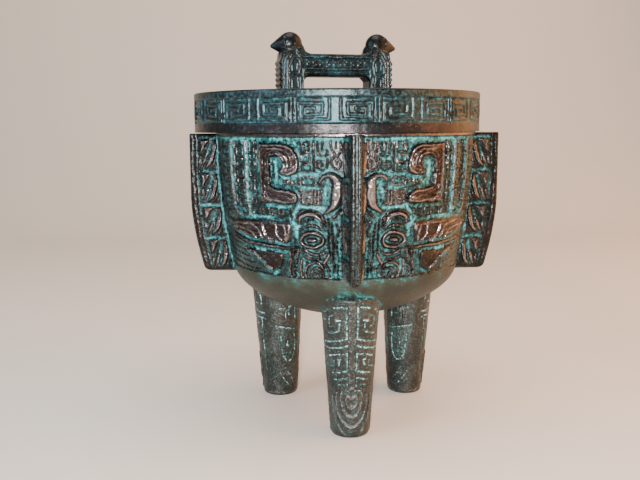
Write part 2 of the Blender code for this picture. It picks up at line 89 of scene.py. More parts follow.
def addNode(tree, kind, links=(), out=0, **settings):
    # one node with its settings and inputs, where links is {input: value or socket}. It gives the output
    # that out names, or the whole node where out is None.
    node = tree.nodes.new(kind)
    for key, value in settings.items():
        setattr(node, key, value)
    for key, value in dict(links).items():
        if isinstance(value, bpy.types.NodeSocket):
            tree.links.new(value, node.inputs[key])
        else:
            node.inputs[key].default_value = value
    return node if out is None else node.outputs[out]


def perMetre(size):  # a noise scale from the size of its spots in mm
    return 1 / (size * mm)


bronzeLook = {
    "dark": "#141919",       # green-black patina
    "warm": "#251917",       # thinner, browner patina
    "rubbed": "#807b7b",     # bare metal where hands and dusters rub the ridges, and a painted highlight on them
    "haze": "#22484b",       # thin grey-green film
    "green": "#1d6f72",      # verdigris
    "pale": "#62b0b4",
    "cloud": 14.0,           # mm
    "blotch": 1.9,
    "grain": 0.6,
    "warmFrom": 0.42, "warmTo": 0.7,       # how much cloud it takes, and how much a raised place helps
    "warmRaised": 0.2,
    "hazeFrom": 0.08, "hazeTo": 0.42,      # how much stain it takes
    "greenFrom": 0.42, "greenTo": 0.74,
    "paleFrom": 0.85, "paleTo": 1.35,
    "spread": 0.0,           # stain that lies all over
    "patchy": 2.8, "drift": 1.6, "speckle": 2.6,  # how unevenly it lies, by blotch, cloud and grain
    "stray": 0.3,            # share of that unevenness where there is no stain
    "rubFrom": 1.2, "rubTo": 1.75,         # how much rubbing and painted highlight it takes
    "rub": 0.9,              # how much of the patina that takes away
    "sheen": 0.72,           # how metallic the patina is
    "bareSheen": 0.95,       # and the metal under it
    "dull": 0.25,            # roughness, before haze, grain and verdigris add to it
    "pitting": 0.4,          # strength of the bump
    "pitDepth": 0.3,         # mm
}


def makeBronze(name, s):
    # cast bronze under a green-black patina: waxy gloss on the ridges, chalky verdigris in the hollows
    material = bpy.data.materials.new(name)
    material.use_nodes = True
    tree = material.node_tree
    shader = tree.nodes["Principled BSDF"]
    place = addNode(tree, "ShaderNodeTexCoord", out="Object")
    cloud, blotch, grain = [
        addNode(tree, "ShaderNodeTexNoise", {
            "Vector": place, "Scale": perMetre(s[key]), "Detail": detail, "Roughness": rough})
        for key, detail, rough in (("cloud", 3, 0.5), ("blotch", 4, 0.6), ("grain", 3, 0.6))]
    stain, wearAndHighlight, raised = [
        addNode(tree, "ShaderNodeAttribute", out="Fac", attribute_name=key)
        for key in ("stain", "wearAndHighlight", "raised")]

    # where the verdigris lies
    uneven = -(s["patchy"] + s["drift"] + s["speckle"]) / 2  # noise is about a half on average
    for spots, share in ((blotch, s["patchy"]), (grain, s["speckle"]), (cloud, s["drift"])):
        uneven = addNode(tree, "ShaderNodeMath", {0: spots, 1: share, 2: uneven}, operation="MULTIPLY_ADD")
    stain = addNode(tree, "ShaderNodeMath", {0: stain, 1: s["spread"]}, operation="ADD")
    share = addNode(tree, "ShaderNodeMath", {0: stain, 1: s["stray"]}, operation="ADD")
    amount = addNode(tree, "ShaderNodeMath", {0: uneven, 1: share, 2: stain}, operation="MULTIPLY_ADD")
    haze, green, pale = [
        addNode(tree, "ShaderNodeMapRange", {0: amount, 1: s[key + "From"], 2: s[key + "To"]},
                interpolation_type="SMOOTHSTEP")
        for key in ("haze", "green", "pale")]
    clean = addNode(tree, "ShaderNodeMath", {0: 1.0, 1: green}, operation="SUBTRACT")

    # where rubbing bares the metal, which also paints a highlight on the ridges, and where the patina is thin
    for spots, share in ((grain, 1.4), (blotch, 0.6)):
        wearAndHighlight = addNode(tree, "ShaderNodeMath", {0: spots, 1: share, 2: wearAndHighlight}, operation="MULTIPLY_ADD")
    rubbed = addNode(tree, "ShaderNodeMapRange", {0: wearAndHighlight, 1: s["rubFrom"], 2: s["rubTo"]},
                     interpolation_type="SMOOTHSTEP")
    bare = addNode(tree, "ShaderNodeMath", {0: clean, 1: s["rub"]}, operation="MULTIPLY")
    rubbed = addNode(tree, "ShaderNodeMath", {0: rubbed, 1: bare}, operation="MULTIPLY")
    thin = addNode(tree, "ShaderNodeMath", {0: raised, 1: s["warmRaised"], 2: cloud},
                   operation="MULTIPLY_ADD")
    thin = addNode(tree, "ShaderNodeMapRange", {0: thin, 1: s["warmFrom"], 2: s["warmTo"]},
                   interpolation_type="SMOOTHSTEP")

    colour = linear(s["dark"])
    for cover, key in ((thin, "warm"), (haze, "haze"), (rubbed, "rubbed"), (green, "green"), (pale, "pale")):
        colour = addNode(tree, "ShaderNodeMix", {0: cover, 6: colour, 7: linear(s[key])}, 2,
                         data_type="RGBA")
    metallic = addNode(tree, "ShaderNodeMath", {0: rubbed, 1: s["bareSheen"] - s["sheen"], 2: s["sheen"]},
                       operation="MULTIPLY_ADD")
    metallic = addNode(tree, "ShaderNodeMath", {0: metallic, 1: clean}, operation="MULTIPLY")
    roughness = s["dull"] - 0.1
    for cover, share in ((haze, 0.12), (grain, 0.2), (rubbed, -0.08), (green, 0.3)):
        roughness = addNode(tree, "ShaderNodeMath", {0: cover, 1: share, 2: roughness},
                            operation="MULTIPLY_ADD")
    pits = addNode(tree, "ShaderNodeMath", {0: blotch, 1: 0.5, 2: grain}, operation="MULTIPLY_ADD")
    bump = addNode(tree, "ShaderNodeBump", {
        "Height": pits, "Strength": s["pitting"], "Distance": s["pitDepth"] * mm})
    for key, value in (("Base Color", colour), ("Metallic", metallic), ("Roughness", roughness),
                       ("Normal", bump)):
        tree.links.new(value, shader.inputs[key])
    print("material: " + name)
    return material


bowlBronze = makeBronze("patinatedBronze", bronzeLook)


# Carving: a field holds heights in mm over a flat stretch of surface, and strokes are laid into it

def blurred(values, cells):  # box blur twice, its edges held
    for axis in (0, 1):
        for turn in range(2):
            pad = [(cells, cells) if a == axis else (0, 0) for a in (0, 1)]
            total = np.cumsum(np.pad(values, pad, mode="edge"), axis=axis)
            total = np.insert(total, 0, 0, axis=axis)
            size = values.shape[axis]
            high = np.take(total, np.arange(size) + 2 * cells + 1, axis=axis)
            values = (high - np.take(total, np.arange(size), axis=axis)) / (2 * cells + 1)
    return values


def newField(xs, zs, seed=0, stray=0.2, fade=0.25):
    # stray: how far, in mm, lines wander from where they are drawn. fade: how uneven their height is.
    x, z = np.meshgrid(xs, zs)  # rows run up
    dice = np.random.default_rng(seed)

    def cloud(cells):
        noise = blurred(dice.standard_normal(x.shape), cells)
        return noise / noise.std()

    field = {"xs": np.asarray(xs), "zs": np.asarray(zs), "x": x, "z": z}
    for key in ("height", "stain", "moat", "polishAndHighlight", "film"):
        field[key] = np.zeros_like(x)
    for key, drawn in (("drawnX", x), ("drawnZ", z)):
        field[key] = drawn + stray * (0.8 * cloud(6) + 0.5 * cloud(2))
    field["pressure"] = np.clip(1 + fade * (0.7 * cloud(5) + 0.7 * cloud(2)), 0.35, 1.35)
    return field


def smooth(low, high, value):  # 0 to 1 between two values, eased at both
    t = np.clip((value - low) / (high - low), 0, 1)
    return t * t * (3 - 2 * t)


def curved(points, steps=5):  # a path rounded through its points
    p = np.array(points, float)
    p = np.vstack([2 * p[0] - p[1], p, 2 * p[-1] - p[-2]])
    rounded = []
    for a, b, c, d in zip(p, p[1:], p[2:], p[3:]):
        for t in np.arange(steps) / steps:
            rounded.append(b + t * (c - a) / 2 + t ** 2 * (a - 2.5 * b + 2 * c - d / 2)
                           + t ** 3 * (1.5 * b - a / 2 - 1.5 * c + d / 2))
    return np.array(rounded + [p[-2]])


def oval(x, z, wide, tall, steps=24):  # a path that ends where it starts
    turns = np.linspace(0, 2 * pi, steps + 1)
    return [(x + wide * cos(a), z + tall * sin(a)) for a in turns]


def window(field, path, reach):  # the rows and columns near a path
    columns = slice(*np.searchsorted(field["xs"], (path[:, 0].min() - reach, path[:, 0].max() + reach)))
    rows = slice(*np.searchsorted(field["zs"], (path[:, 1].min() - reach, path[:, 1].max() + reach)))
    return rows, columns


def nearest(x, z, ax, az, bx, bz):  # share of the way along a segment, and the distance from it
    length = max((bx - ax) ** 2 + (bz - az) ** 2, 1e-9)
    t = np.clip(((x - ax) * (bx - ax) + (z - az) * (bz - az)) / length, 0, 1)
    return t, np.hypot(x - ax - t * (bx - ax), z - az - t * (bz - az))


def strokeDepth(field, points, width=None):  # mm inside a stroke's edge; a point may hold its own width
    path = np.array(points, float)
    if path.shape[1] == 2:
        path = np.column_stack([path, np.full(len(path), width)])
    where = window(field, path, path[:, 2].max() / 2 + 1.4)
    x, z = field["drawnX"][where], field["drawnZ"][where]
    depth = np.full(x.shape, -9.0)
    for (ax, az, aw), (bx, bz, bw) in zip(path, path[1:]):
        t, away = nearest(x, z, ax, az, bx, bz)
        depth = np.maximum(depth, (aw + (bw - aw) * t) / 2 - away)
    return where, depth


def shapeDepth(field, outline):  # mm inside a closed outline's edge
    path = np.array(outline, float)
    where = window(field, path, 2.0)
    x, z = field["drawnX"][where], field["drawnZ"][where]
    away = np.full(x.shape, 99.0)
    inner = np.zeros(x.shape, bool)
    for (ax, az), (bx, bz) in zip(path, np.roll(path, -1, axis=0)):
        away = np.minimum(away, nearest(x, z, ax, az, bx, bz)[1])
        if az != bz:
            inner ^= ((az > z) != (bz > z)) & (x < ax + (z - az) * (bx - ax) / (bz - az))
    return where, np.where(inner, away, -away)


def raiseBy(field, found, height, soft=0.6, polishAndHighlight=0, ribs=0, ribDepth=0.35, ribStart=0.9):
    # polish: how far rubbing has bared it, which also paints a highlight on it. ribs: fine lines that run inside
    # the edge, this far apart.
    where, depth = found
    rise = smooth(0, soft, depth) * height * (0.6 + 0.4 * field["pressure"][where])
    if ribs:
        rise = rise - ribDepth * smooth(ribStart - 0.4, ribStart + 0.2, depth) * field["pressure"][where] * (
            0.5 + 0.5 * np.cos(2 * pi * (depth - ribStart) / ribs))
    field["height"][where] = np.maximum(field["height"][where], rise * (depth > 0))
    if polishAndHighlight:
        field["polishAndHighlight"][where] = np.maximum(field["polishAndHighlight"][where], polishAndHighlight * smooth(0, soft * 0.5, depth))


def moatBy(field, found, low, width=1.2):  # the ground is deeper round a mass
    where, depth = found
    field["moat"][where] = np.maximum(field["moat"][where], low * smooth(-width, -0.3, depth))


def cutBy(field, found, low, soft=0.5):
    where, depth = found
    field["height"][where] -= smooth(0, soft, depth) * low


def stainBy(field, found, amount, soft=0.7):
    where, depth = found
    amount = amount * (0.5 + 0.5 * field["pressure"][where])
    field["stain"][where] = np.maximum(field["stain"][where], smooth(-soft, soft, depth) * amount)


def squareKey(left, low, width, height, pitch, mirror=False, fromTop=True):
    # path of a square spiral that starts at an outer corner and ends in the middle
    x0, x1, z0, z1 = left, left + width, low, low + height
    path = [(x0, z1)]
    side = 0
    while x1 - x0 > pitch * 0.6 and z1 - z0 > pitch * 0.6:
        path.append([(x0, z0), (x1, z0), (x1, z1), (x0, z1)][side % 4])
        if side % 4 == 0:
            x0 += pitch
        elif side % 4 == 1:
            z0 += pitch
        elif side % 4 == 2:
            x1 -= pitch
        else:
            z1 -= pitch
        side += 1
    if mirror:
        path = [(2 * left + width - x, z) for x, z in path]
    if not fromTop:
        path = [(x, 2 * low + height - z) for x, z in path]
    return path


def washBy(field, found, film, polishAndHighlight=0, soft=1.5):
    # film: verdigris in the low ground of a stretch. polish: how far rubbing has bared its ridges, which also
    # paints a highlight on them
    where, depth = found
    share = smooth(-soft, soft, depth)
    field["film"][where] += film * share
    field["polishAndHighlight"][where] = np.maximum(field["polishAndHighlight"][where], polishAndHighlight * share)


def roughen(field, seed, amount):  # the grain of the casting
    noise = np.random.default_rng(seed).standard_normal(field["x"].shape)
    field["height"] += amount * (blurred(noise, 1) * 2 + blurred(noise[::-1], 3) * 5)


weather = {
    "hollow": 0.7, "inHollows": 0.4,       # mm lower than what is round it, and the stain there
    "ridge": 0.45, "onRidges": 0.42,       # mm higher than what is round it, and the rubbing and painted highlight there
    "crown": (1.3, 2.3), "onCrowns": 0.1,  # mm high, and the rubbing and painted highlight there
    "ground": (0.8, 0.1), "raised": (0.9, 1.7),
    "wiped": 0.6,                          # how much of the stain is rubbed away with the patina
}


def settle(field, film=0.0, s=weather):
    # verdigris lies where the surface is lower than what is round it, and rubbing shows where it is higher,
    # which also paints a highlight there.
    # film: what lies on all of the low ground
    height = field["height"]
    soft = blurred(height, 1)
    hollow = np.clip((blurred(height, 6) - soft) / s["hollow"], 0, 1)
    film = film + blurred(field["film"], 1)
    field["stain"] = np.clip(s["inHollows"] * hollow + film * smooth(*s["ground"], soft)
                             + blurred(field["stain"], 1), 0, 1)
    ridge = np.clip((soft - blurred(height, 4)) / s["ridge"], 0, 1)
    crown = smooth(*s["crown"], height)
    field["wearAndHighlight"] = np.clip(s["onRidges"] * ridge + s["onCrowns"] * crown + field["polishAndHighlight"], 0, 1)
    field["stain"] *= 1 - s["wiped"] * field["wearAndHighlight"]
    field["raised"] = smooth(*s["raised"], soft)


# Meshes from fields

def paint(mesh, values):  # numbers for each vertex, which the materials read
    for key, value in values.items():
        layer = mesh.attributes.new(key, "FLOAT", "POINT")
        layer.data.foreach_set("value", value.astype(np.float32).ravel())


def gridMesh(name, points, closeRows, closeColumns, values):
    # points[row, column] as one skin; values are {name: [row, column]}
    rows, columns = points.shape[:2]
    index = np.arange(rows * columns).reshape(rows, columns)
    up = np.roll(index, -1, axis=0)
    over = np.roll(index, -1, axis=1)
    across = np.roll(up, -1, axis=1)
    faces = np.stack([index, over, across, up], -1)
    faces = faces[:rows if closeRows else -1, :columns if closeColumns else -1].reshape(-1, 4)
    mesh = bpy.data.meshes.new(name)
    mesh.vertices.add(rows * columns)
    mesh.vertices.foreach_set("co", np.ascontiguousarray(points, np.float32).ravel())
    mesh.loops.add(faces.size)
    mesh.loops.foreach_set("vertex_index", faces.astype(np.int32).ravel())
    mesh.polygons.add(len(faces))
    mesh.polygons.foreach_set("loop_start", np.arange(0, faces.size, 4, dtype=np.int32))
    paint(mesh, values)
    mesh.update(calc_edges=True)
    mesh.validate()
    return mesh


def closeEnds(mesh):  # fills every open loop with one face, and points the skin outwards
    edit = bmesh.new()
    edit.from_mesh(mesh)
    bmesh.ops.remove_doubles(edit, verts=edit.verts, dist=0.002 * mm)
    bmesh.ops.holes_fill(edit, edges=[e for e in edit.edges if e.is_boundary], sides=0)
    bmesh.ops.recalc_face_normals(edit, faces=edit.faces)
    edit.to_mesh(mesh)
    edit.free()


def newObject(name, mesh):
    thing = bpy.data.objects.new(name, mesh)
    bpy.context.scene.collection.objects.link(thing)
    return thing


def finished(thing):  # its mesh as its modifiers leave it
    return bpy.data.meshes.new_from_object(thing.evaluated_get(bpy.context.evaluated_depsgraph_get()))


def shadeRound(mesh, angle):
    mesh.shade_smooth()
    mesh.set_sharp_from_angle(angle=radians(angle))


def turned(reach, turns, level):  # rows of points round the axis, from -Y over +X, each row at its level
    return np.stack(np.broadcast_arrays(reach * np.sin(turns), -reach * np.cos(turns), level[:, None]), -1)


# Geometry Nodes

def newTree(name, inputs):
    # a tree with a Geometry input and these others: {name: (socket kind, value)}
    tree = bpy.data.node_groups.new(name, "GeometryNodeTree")
    tree.interface.new_socket("Geometry", in_out="INPUT", socket_type="NodeSocketGeometry")
    tree.interface.new_socket("Geometry", in_out="OUTPUT", socket_type="NodeSocketGeometry")
    for key, (kind, value) in inputs.items():
        socket = tree.interface.new_socket(key, in_out="INPUT", socket_type="NodeSocket" + kind)
        if value is not None:
            socket.default_value = value
    given = addNode(tree, "NodeGroupInput", out=None).outputs
    return tree, given, addNode(tree, "NodeGroupOutput", out=None).inputs


def endTree(tree, geometry, material, output):
    whole = addNode(tree, "GeometryNodeRealizeInstances", {0: geometry})
    dressed = addNode(tree, "GeometryNodeSetMaterial", {"Geometry": whole, "Material": material})
    tree.links.new(dressed, output[0])


def runTree(piece, tree, **values):
    # evaluates a tree on a piece and keeps the result as its own mesh
    change = piece.modifiers.new(tree.name, "NODES")
    change.node_group = tree
    for item in tree.interface.items_tree:
        if item.in_out == "INPUT" and item.name in values:
            change[item.identifier] = values[item.name]
    mesh = finished(piece)
    piece.modifiers.clear()
    piece.data = mesh
    return piece


def wrapTree():
    # bends a flat panel round the bowl: X runs round, Y stands out and Z goes up
    tree, given, output = newTree("wrapRoundBowl", {
        "Radius": ("Float", 0.08), "Draw in": ("Float", 0.01), "Band top": ("Float", 0.18),
        "Band height": ("Float", 0.08), "Turn": ("Float", 0.0), "Mirror": ("Bool", False),
        "Material": ("Material", None)})
    known = {socket.name: socket for socket in given}
    place = addNode(tree, "GeometryNodeInputPosition")
    known.update(zip("XYZ", addNode(tree, "ShaderNodeSeparateXYZ", {0: place}, None).outputs))
    for name, operation, *terms in (
            ("sense", "MULTIPLY_ADD", "Mirror", -2.0, 1.0),  # a mirrored panel runs the other way
            ("angle", "DIVIDE", "X", "Radius"),
            ("angle", "MULTIPLY_ADD", "angle", "sense", "Turn"),
            ("drop", "SUBTRACT", "Band top", "Z"),           # the wall draws in with the square of this
            ("drop", "DIVIDE", "drop", "Band height"),
            ("drop", "MAXIMUM", "drop", 0.0),
            ("drop", "MULTIPLY", "drop", "drop"),
            ("drawn", "MULTIPLY", "Draw in", "drop"),
            ("reach", "SUBTRACT", "Radius", "drawn"),
            ("reach", "ADD", "reach", "Y"),
            ("sine", "SINE", "angle"),
            ("cosine", "COSINE", "angle"),
            ("back", "MULTIPLY", "cosine", -1.0),
            ("across", "MULTIPLY", "reach", "sine"),
            ("along", "MULTIPLY", "reach", "back")):
        inputs = {i: known.get(term, term) for i, term in enumerate(terms)}
        known[name] = addNode(tree, "ShaderNodeMath", inputs, operation=operation)
    place = addNode(tree, "ShaderNodeCombineXYZ", {0: known["across"], 1: known["along"], 2: known["Z"]})
    bent = addNode(tree, "GeometryNodeSetPosition", {"Geometry": given["Geometry"], "Position": place})
    flipped = addNode(tree, "GeometryNodeFlipFaces", {"Mesh": bent, "Selection": given["Mirror"]})
    endTree(tree, flipped, given["Material"], output)
    return tree


# Mask: a quarter of the bowl's band, from the nose flange to the side flange. X in degrees, Z in mm.

band = {
    "radius": 82.3, "drawIn": 8.5, "top": 182.0, "bottom": 101.0, "wall": 4.0,
    "fineStep": 0.44, "coarseStep": 0.95, "fineTo": 61.0,  # degrees
    "high": 2.2, "middle": 1.6, "low": 1.15,  # how far masses, ridges and lines stand out
    "keyLine": 0.95, "keyPitch": 1.75, "brightKeys": 24,   # keys nearer the nose than this are worn bright by rubbing, which also paints a highlight on them
    "rough": 0.09, "film": 0.13,
    "carvedTo": (182.6, 182.2), "rim": (183.1, 183.5), "rimOut": 2.0,  # a plain groove lies between them
}

mask = {  # what is drawn on it. Widths and heights are in mm, and a point may hold its own width.
    "horn": [
        (21.2, 149.9), (21.5, 147.0), (23.4, 144.6), (28, 143.6), (34, 143.9), (38.5, 143.9), (41, 145.6),
        (41.4, 152), (41.3, 165), (41.3, 180.2), (36, 181.2), (29, 181.2), (25.2, 180), (22.6, 177),
        (21, 172.4), (20.8, 166.6), (21.9, 162.4), (25.2, 160), (28.8, 160.3), (31.3, 162.4), (31.6, 164.8),
        (30.6, 166), (30, 168), (30.2, 170), (31.2, 171), (33.2, 170.8), (33.8, 169), (33.8, 158.4),
        (32.8, 156.4), (29, 155.2), (25.6, 154.8), (22.6, 153),
    ],
    "hornLines": [  # width, points
        (1.1, [(37.0, 178.6), (29.6, 178.7), (26.3, 177.6), (23.9, 175.0), (22.6, 171.6), (22.5, 167.2),
            (23.6, 164.2), (26.0, 162.6)]),
        (1.2, [(35.0, 176.3), (30.0, 176.4), (27.2, 175.2), (25.0, 172.6), (24.2, 169.6), (24.3, 167.2),
            (25.4, 165.2), (27.6, 164.4)]),
        (1.0, [(31.5, 174.0), (28.8, 173.8), (26.8, 171.8), (26.0, 169.2), (26.6, 167.0), (28.4, 166.0)]),
        (1.0, [(39.4, 176.0), (39.2, 157.0), (38.8, 151.0), (36.4, 147.6)]),
        (1.5, [(37.4, 155.6), (37.0, 150.4), (35.0, 147.2)]),
        (1.2, [(30.6, 153.0), (26.4, 152.2), (23.6, 150.2), (23.5, 147.4)]),
        (1.2, [(31.4, 150.2), (27.8, 149.8), (25.7, 148.4)]),
        (1.0, [(34.2, 147.6), (30.4, 147.0), (27.6, 145.8)]),
    ],
    "brow": [
        (13.6, 155.2, 1.2), (13.5, 158.4, 2.8), (12, 161.2, 3.6), (9.2, 162.0, 5.2), (6.9, 159.6, 7.4),
        (6.4, 155, 8.8), (6.6, 150, 8.8), (7.6, 145.8, 7.4), (9.6, 142.6, 4.6), (12.6, 139.8, 1.6),
    ],
    "browEdge": [(4.5, 161), (4.5, 150), (5.1, 143)],
    "cheek": [
        (25.9, 134.2), (28, 135.7), (36, 136), (48, 136), (56, 135.2), (63, 134.2), (70, 133.6),
        (63, 127.6), (55, 123.8), (48, 122.2), (36, 121.7), (29, 121.7), (26.3, 123.2), (25.6, 129),
    ],
    "cheekBone": [
        (24.4, 119.2, 1.2), (30, 119.4, 3.0), (40, 119.6, 3.4), (52, 120.9, 3.2), (60, 123.0, 2.4),
        (66, 125.6, 1.0),
    ],
    "cheekLines": [  # width, points
        (1.3, [(27.3, 130.6), (27.4, 134.4)]), (1.5, [(29.2, 122.6), (28.7, 127), (29.8, 132.4)]),
        (1.7, [(30.8, 122.6), (33.2, 127.6), (33.6, 133.4), (37, 134.6)]),
        (2.2, [(36.2, 122.2), (39.2, 126), (40.6, 131.6)]),
        (1.6, [(41.6, 123.6), (43.2, 128.4), (46.4, 131.6), (53, 132.4)]),
        (1.5, [(45.6, 123.4), (48.4, 127.6), (55, 129), (63.6, 129.4)]),
        (1.3, [(50.6, 124.8), (55, 126.2), (60, 127)]),
    ],
    "claw": [
        (30.6, 117.5), (38, 118.1), (46, 118.1), (55.8, 117.8), (53, 114), (47.5, 111.4), (43.6, 108.8),
        (40.4, 105.6), (38.4, 102.2), (36, 102.4), (32.8, 105.4), (30.7, 110),
    ],
    "clawLines": [  # width, height, points
        (1.2, 1.8, [(31.6, 116.4), (31.7, 110.4), (33.8, 105.6)]),
        (1.2, 1.8, [(33.5, 116.6), (33.6, 111), (35.6, 104.6)]),
        (1.2, 1.8, [(35.4, 116.6), (35.6, 111.4), (37.4, 107.2)]),
        (1.2, 1.8, [(37.3, 116.4), (37.6, 113), (39.4, 109.2)]),
        (1.2, 1.8, [(39.4, 116.4), (39.8, 114), (41.4, 111.6)]),
        (2.2, 2.3, [(38.4, 105.4), (40.2, 106.8), (42.0, 108.8)]),
        (1.9, 2.2, [(45.2, 111.2), (48.0, 113.6), (50, 114.2), (54, 116.8)]),
    ],
    "palm": [(41.6, 116.2), (44.4, 116.6), (47.6, 116.5)],
    "eyeRing": (17.2, 124.7, 4.9, 4.3), "eyeBall": (17.1, 124.4, 3.1, 2.3),  # middle, half sizes
    "eyeSlit": [(13.9, 124.8), (16.0, 123.2), (19.2, 122.4)],
    # the eye ring's top, painted bright as a highlight
    "eyeShine": [(12.6, 126.2), (13.6, 127.8), (15.4, 128.9)],
    "lashes": (14.4, 15.9, 17.4, 18.9),
    "eyeArcs": [  # height, points: the lids and the arcs over and under them
        (1.5, [(11.2, 130.4, 1.0), (11.8, 136, 1.4), (13.2, 139.8, 1.5), (15.2, 141.7, 1.5),
            (18.4, 142.2, 1.5), (21.4, 141.3, 1.5), (23.5, 138.9, 1.5), (24.2, 135.4, 1.0)]),
        (2.0, [(12.7, 132.6, 1.2), (13.3, 136.3, 2.2), (14.9, 138.7, 2.5), (17.0, 139.7, 2.5),
            (19.8, 139.6, 2.4), (22.0, 137.8, 2.2), (22.7, 134.4, 1.2)]),
        (1.3, [(14.3, 134.6, 0.9), (16.0, 136.5, 1.4), (18.4, 136.9, 1.5), (20.6, 135.8, 1.3),
            (21.2, 134.0, 0.8)]),
        (1.8, [(13.4, 131.0, 1.2), (15.2, 132.5, 1.7), (17.6, 133.3, 1.7), (20.2, 132.4, 1.4)]),
        (1.7, [(11.6, 118.4, 1.1), (14, 116.5, 1.8), (17, 116.4, 1.9), (20, 118.1, 1.7),
            (21.8, 119.9, 1.0)]),
        (1.4, [(12.4, 114.2, 1.0), (15.4, 113.3, 1.5), (19, 113.7, 1.5), (21.6, 115.4, 1.1)]),
    ],
    "nose": [  # width, height, points: nose and mouth
        (1.1, 1.0, [(4.7, 140), (5.0, 134), (4.6, 126), (5.1, 118), (4.5, 110), (4.8, 102.2)]),
        (1.6, 1.5, [(5.2, 142.8), (6.5, 140.8), (8.4, 138.2)]),
        (1.5, 1.4, [(7.1, 134.6), (6.2, 131), (6.5, 127)]),
        (1.2, 1.1, [(6.6, 125), (6.9, 119), (6.1, 112), (6.7, 106), (6.3, 102.4)]),
        (1.3, 1.3, [(9.0, 135.4), (8.6, 128), (8.3, 122), (8.7, 115), (8.0, 109), (8.5, 102.4)]),
        (1.3, 1.2, [(10.3, 137.6), (10.1, 130), (10.4, 122), (10.1, 116)]),
        (2.2, 1.5, [(10.3, 115.8), (11.8, 112.6), (12.9, 111.2)]),
        (1.6, 1.5, [(10.6, 102.6), (10.9, 107.4), (12.6, 110.9)]),
        (1.8, 1.6, [(13.0, 108.0), (14.6, 110.7), (17.2, 111.2), (20.0, 109.4), (21.2, 105.6),
            (21.0, 102.4)]),
        (1.7, 1.6, [(13.2, 102.8), (13.4, 105.8), (15.2, 107.9), (17.6, 107.4), (18.8, 105),
            (18.6, 102.4)]),
        (1.5, 1.5, [(15.4, 102.4), (16.2, 105.0)]), (1.7, 1.6, [(23.5, 119), (24.3, 115), (25.5, 110.4)]),
        (1.6, 1.8, [(24.9, 118.4), (26.5, 115)]), (1.9, 1.4, [(22.6, 112.6), (23.4, 107.6), (23.2, 102.6)]),
        (1.8, 1.7, [(27.6, 118), (27.4, 112.4), (28.6, 106), (28.2, 102.4)]),
        (1.6, 1.4, [(25.9, 108.6), (26.4, 105), (26.0, 102.4)]),
        (1.4, 1.2, [(22.6, 120.0), (30, 119.5), (40, 119.5), (54, 119.8), (63, 122.4)]),
    ],
    "ridges": [  # softness, width of their stain, points: upright ridges beside the horn
        (1.2, 2.9, [(48.2, 136.8), (48.3, 158), (48.2, 181.6)]),
        (1.1, 2.7, [(59.1, 181.8), (59.1, 147), (58.0, 140.6), (55.0, 137.2)]),
    ],
    "uprights": [  # width, height, softness, polish (rubbing and a painted highlight), points
        (1.3, 1.5, 0.7, 0.3, [(42.4, 167), (42.3, 174), (42.4, 181)]),
        (1.1, 1.15, 0.6, 0, [(56.4, 181.8), (56.4, 149), (55.4, 143), (52.0, 138.8)]),
        (1.6, 1.2, 0.7, 0, [(70.2, 133), (70.4, 181.6)]),
        (1.5, 1.2, 0.7, 0, [(85.6, 102.5), (85.6, 181.6)]),
    ],
    "bars": [  # width, points: between the masses
        (1.3, [(4.9, 181.4), (5.0, 176.4), (6.3, 172.6), (5.1, 168.4), (6.4, 165.4), (8.3, 166.4),
            (8.9, 170), (7.5, 173.6), (8.8, 177), (8.9, 181.4)]),
        (1.0, [(6.9, 181), (6.9, 177.4)]), (1.0, [(6.9, 170.6), (6.9, 168)]),
        (1.1, [(10.4, 176.2), (10.5, 173.2), (12.2, 172.2), (13.7, 173.8), (13.9, 181.2)]),
        (1.0, [(12.0, 181), (12.2, 175.6)]),
        (1.1, [(10.4, 171.2), (10.5, 166.4), (12.2, 164.6), (14.3, 166), (14.2, 169.4), (12.6, 170)]),
        (1.1, [(12.2, 168.6), (12.7, 166.8)]), (1.1, [(15.6, 181.4), (15.6, 163.8)]),
        (1.1, [(21.9, 160), (21.9, 155.6)]), (1.0, [(23.4, 158.2), (24.4, 157.2)]),
        (1.1, [(25.1, 160.2), (25.2, 156.4)]),
        (1.1, [(26.8, 160.2), (26.8, 157.4), (28.9, 157.6), (28.8, 160.4)]),
        (1.2, [(13.2, 153.0), (13.0, 149), (13.4, 145)]), (1.0, [(14.7, 154.4), (14.7, 145.2)]),
        (1.0, [(16.0, 154.2), (16.0, 145.4)]),
        (1.1, [(17.0, 153.9), (18.6, 151.8), (20.9, 151.4), (21.0, 146.0), (17.4, 145.7)]),
        (1.0, [(18.1, 149.4), (19.5, 148.6), (18.6, 147.4)]), (1.0, [(21.6, 154), (22.1, 151.6)]),
    ],
    "keys": [  # left, low, right, top, then whether it is mirrored
        (16.9, 174.8, 21.2, 181.2, True), (16.9, 169.2, 21.2, 174.0, False),
        (16.9, 163.6, 21.2, 168.4, False), (15.4, 156.2, 20.6, 161.4, False),
    ],
    "rowKeys": (138.0, 142.8, (25.6, 30.4), (31.5, 35.4), (36.2, 40.3), (41.1, 46.0)),  # low, top, sides
    "hornKeys": (43.2, 46.3, (174.0, 181.2), (166.6, 173.2), (159.2, 165.8), (151.8, 158.4), (144.4, 151.0)),
    "outerKeys": (  # sides, then low and top
        (72.2, 78.0), (78.8, 84.4), (173.0, 181.4), (163.8, 172.2), (154.6, 163.0), (145.4, 153.8),
        (136.2, 144.6), (127.0, 135.4),
    ),
    "pockets": [  # amount, points: where the verdigris is thickest
        (0.7, [(30.8, 168.6, 1.4), (32.6, 168.8, 2.2)]), (0.8, [(32.4, 168, 1.8), (32.2, 158.6, 2.2)]),
        (0.66, [(29.4, 157.8, 1.8), (32.0, 158.2, 2.0)]), (0.55, [(22.2, 161.2, 1.2), (29.6, 160.2, 1.2)]),
        (0.85, [(11.0, 157.4, 0.8), (11.4, 153, 1.8), (11.7, 148.4, 1.4)]),
        (0.7, [(14, 155.2, 1.0), (22, 155.1, 1.2)]), (0.7, [(14.5, 162.5, 1.2), (22, 162.2, 1.2)]),
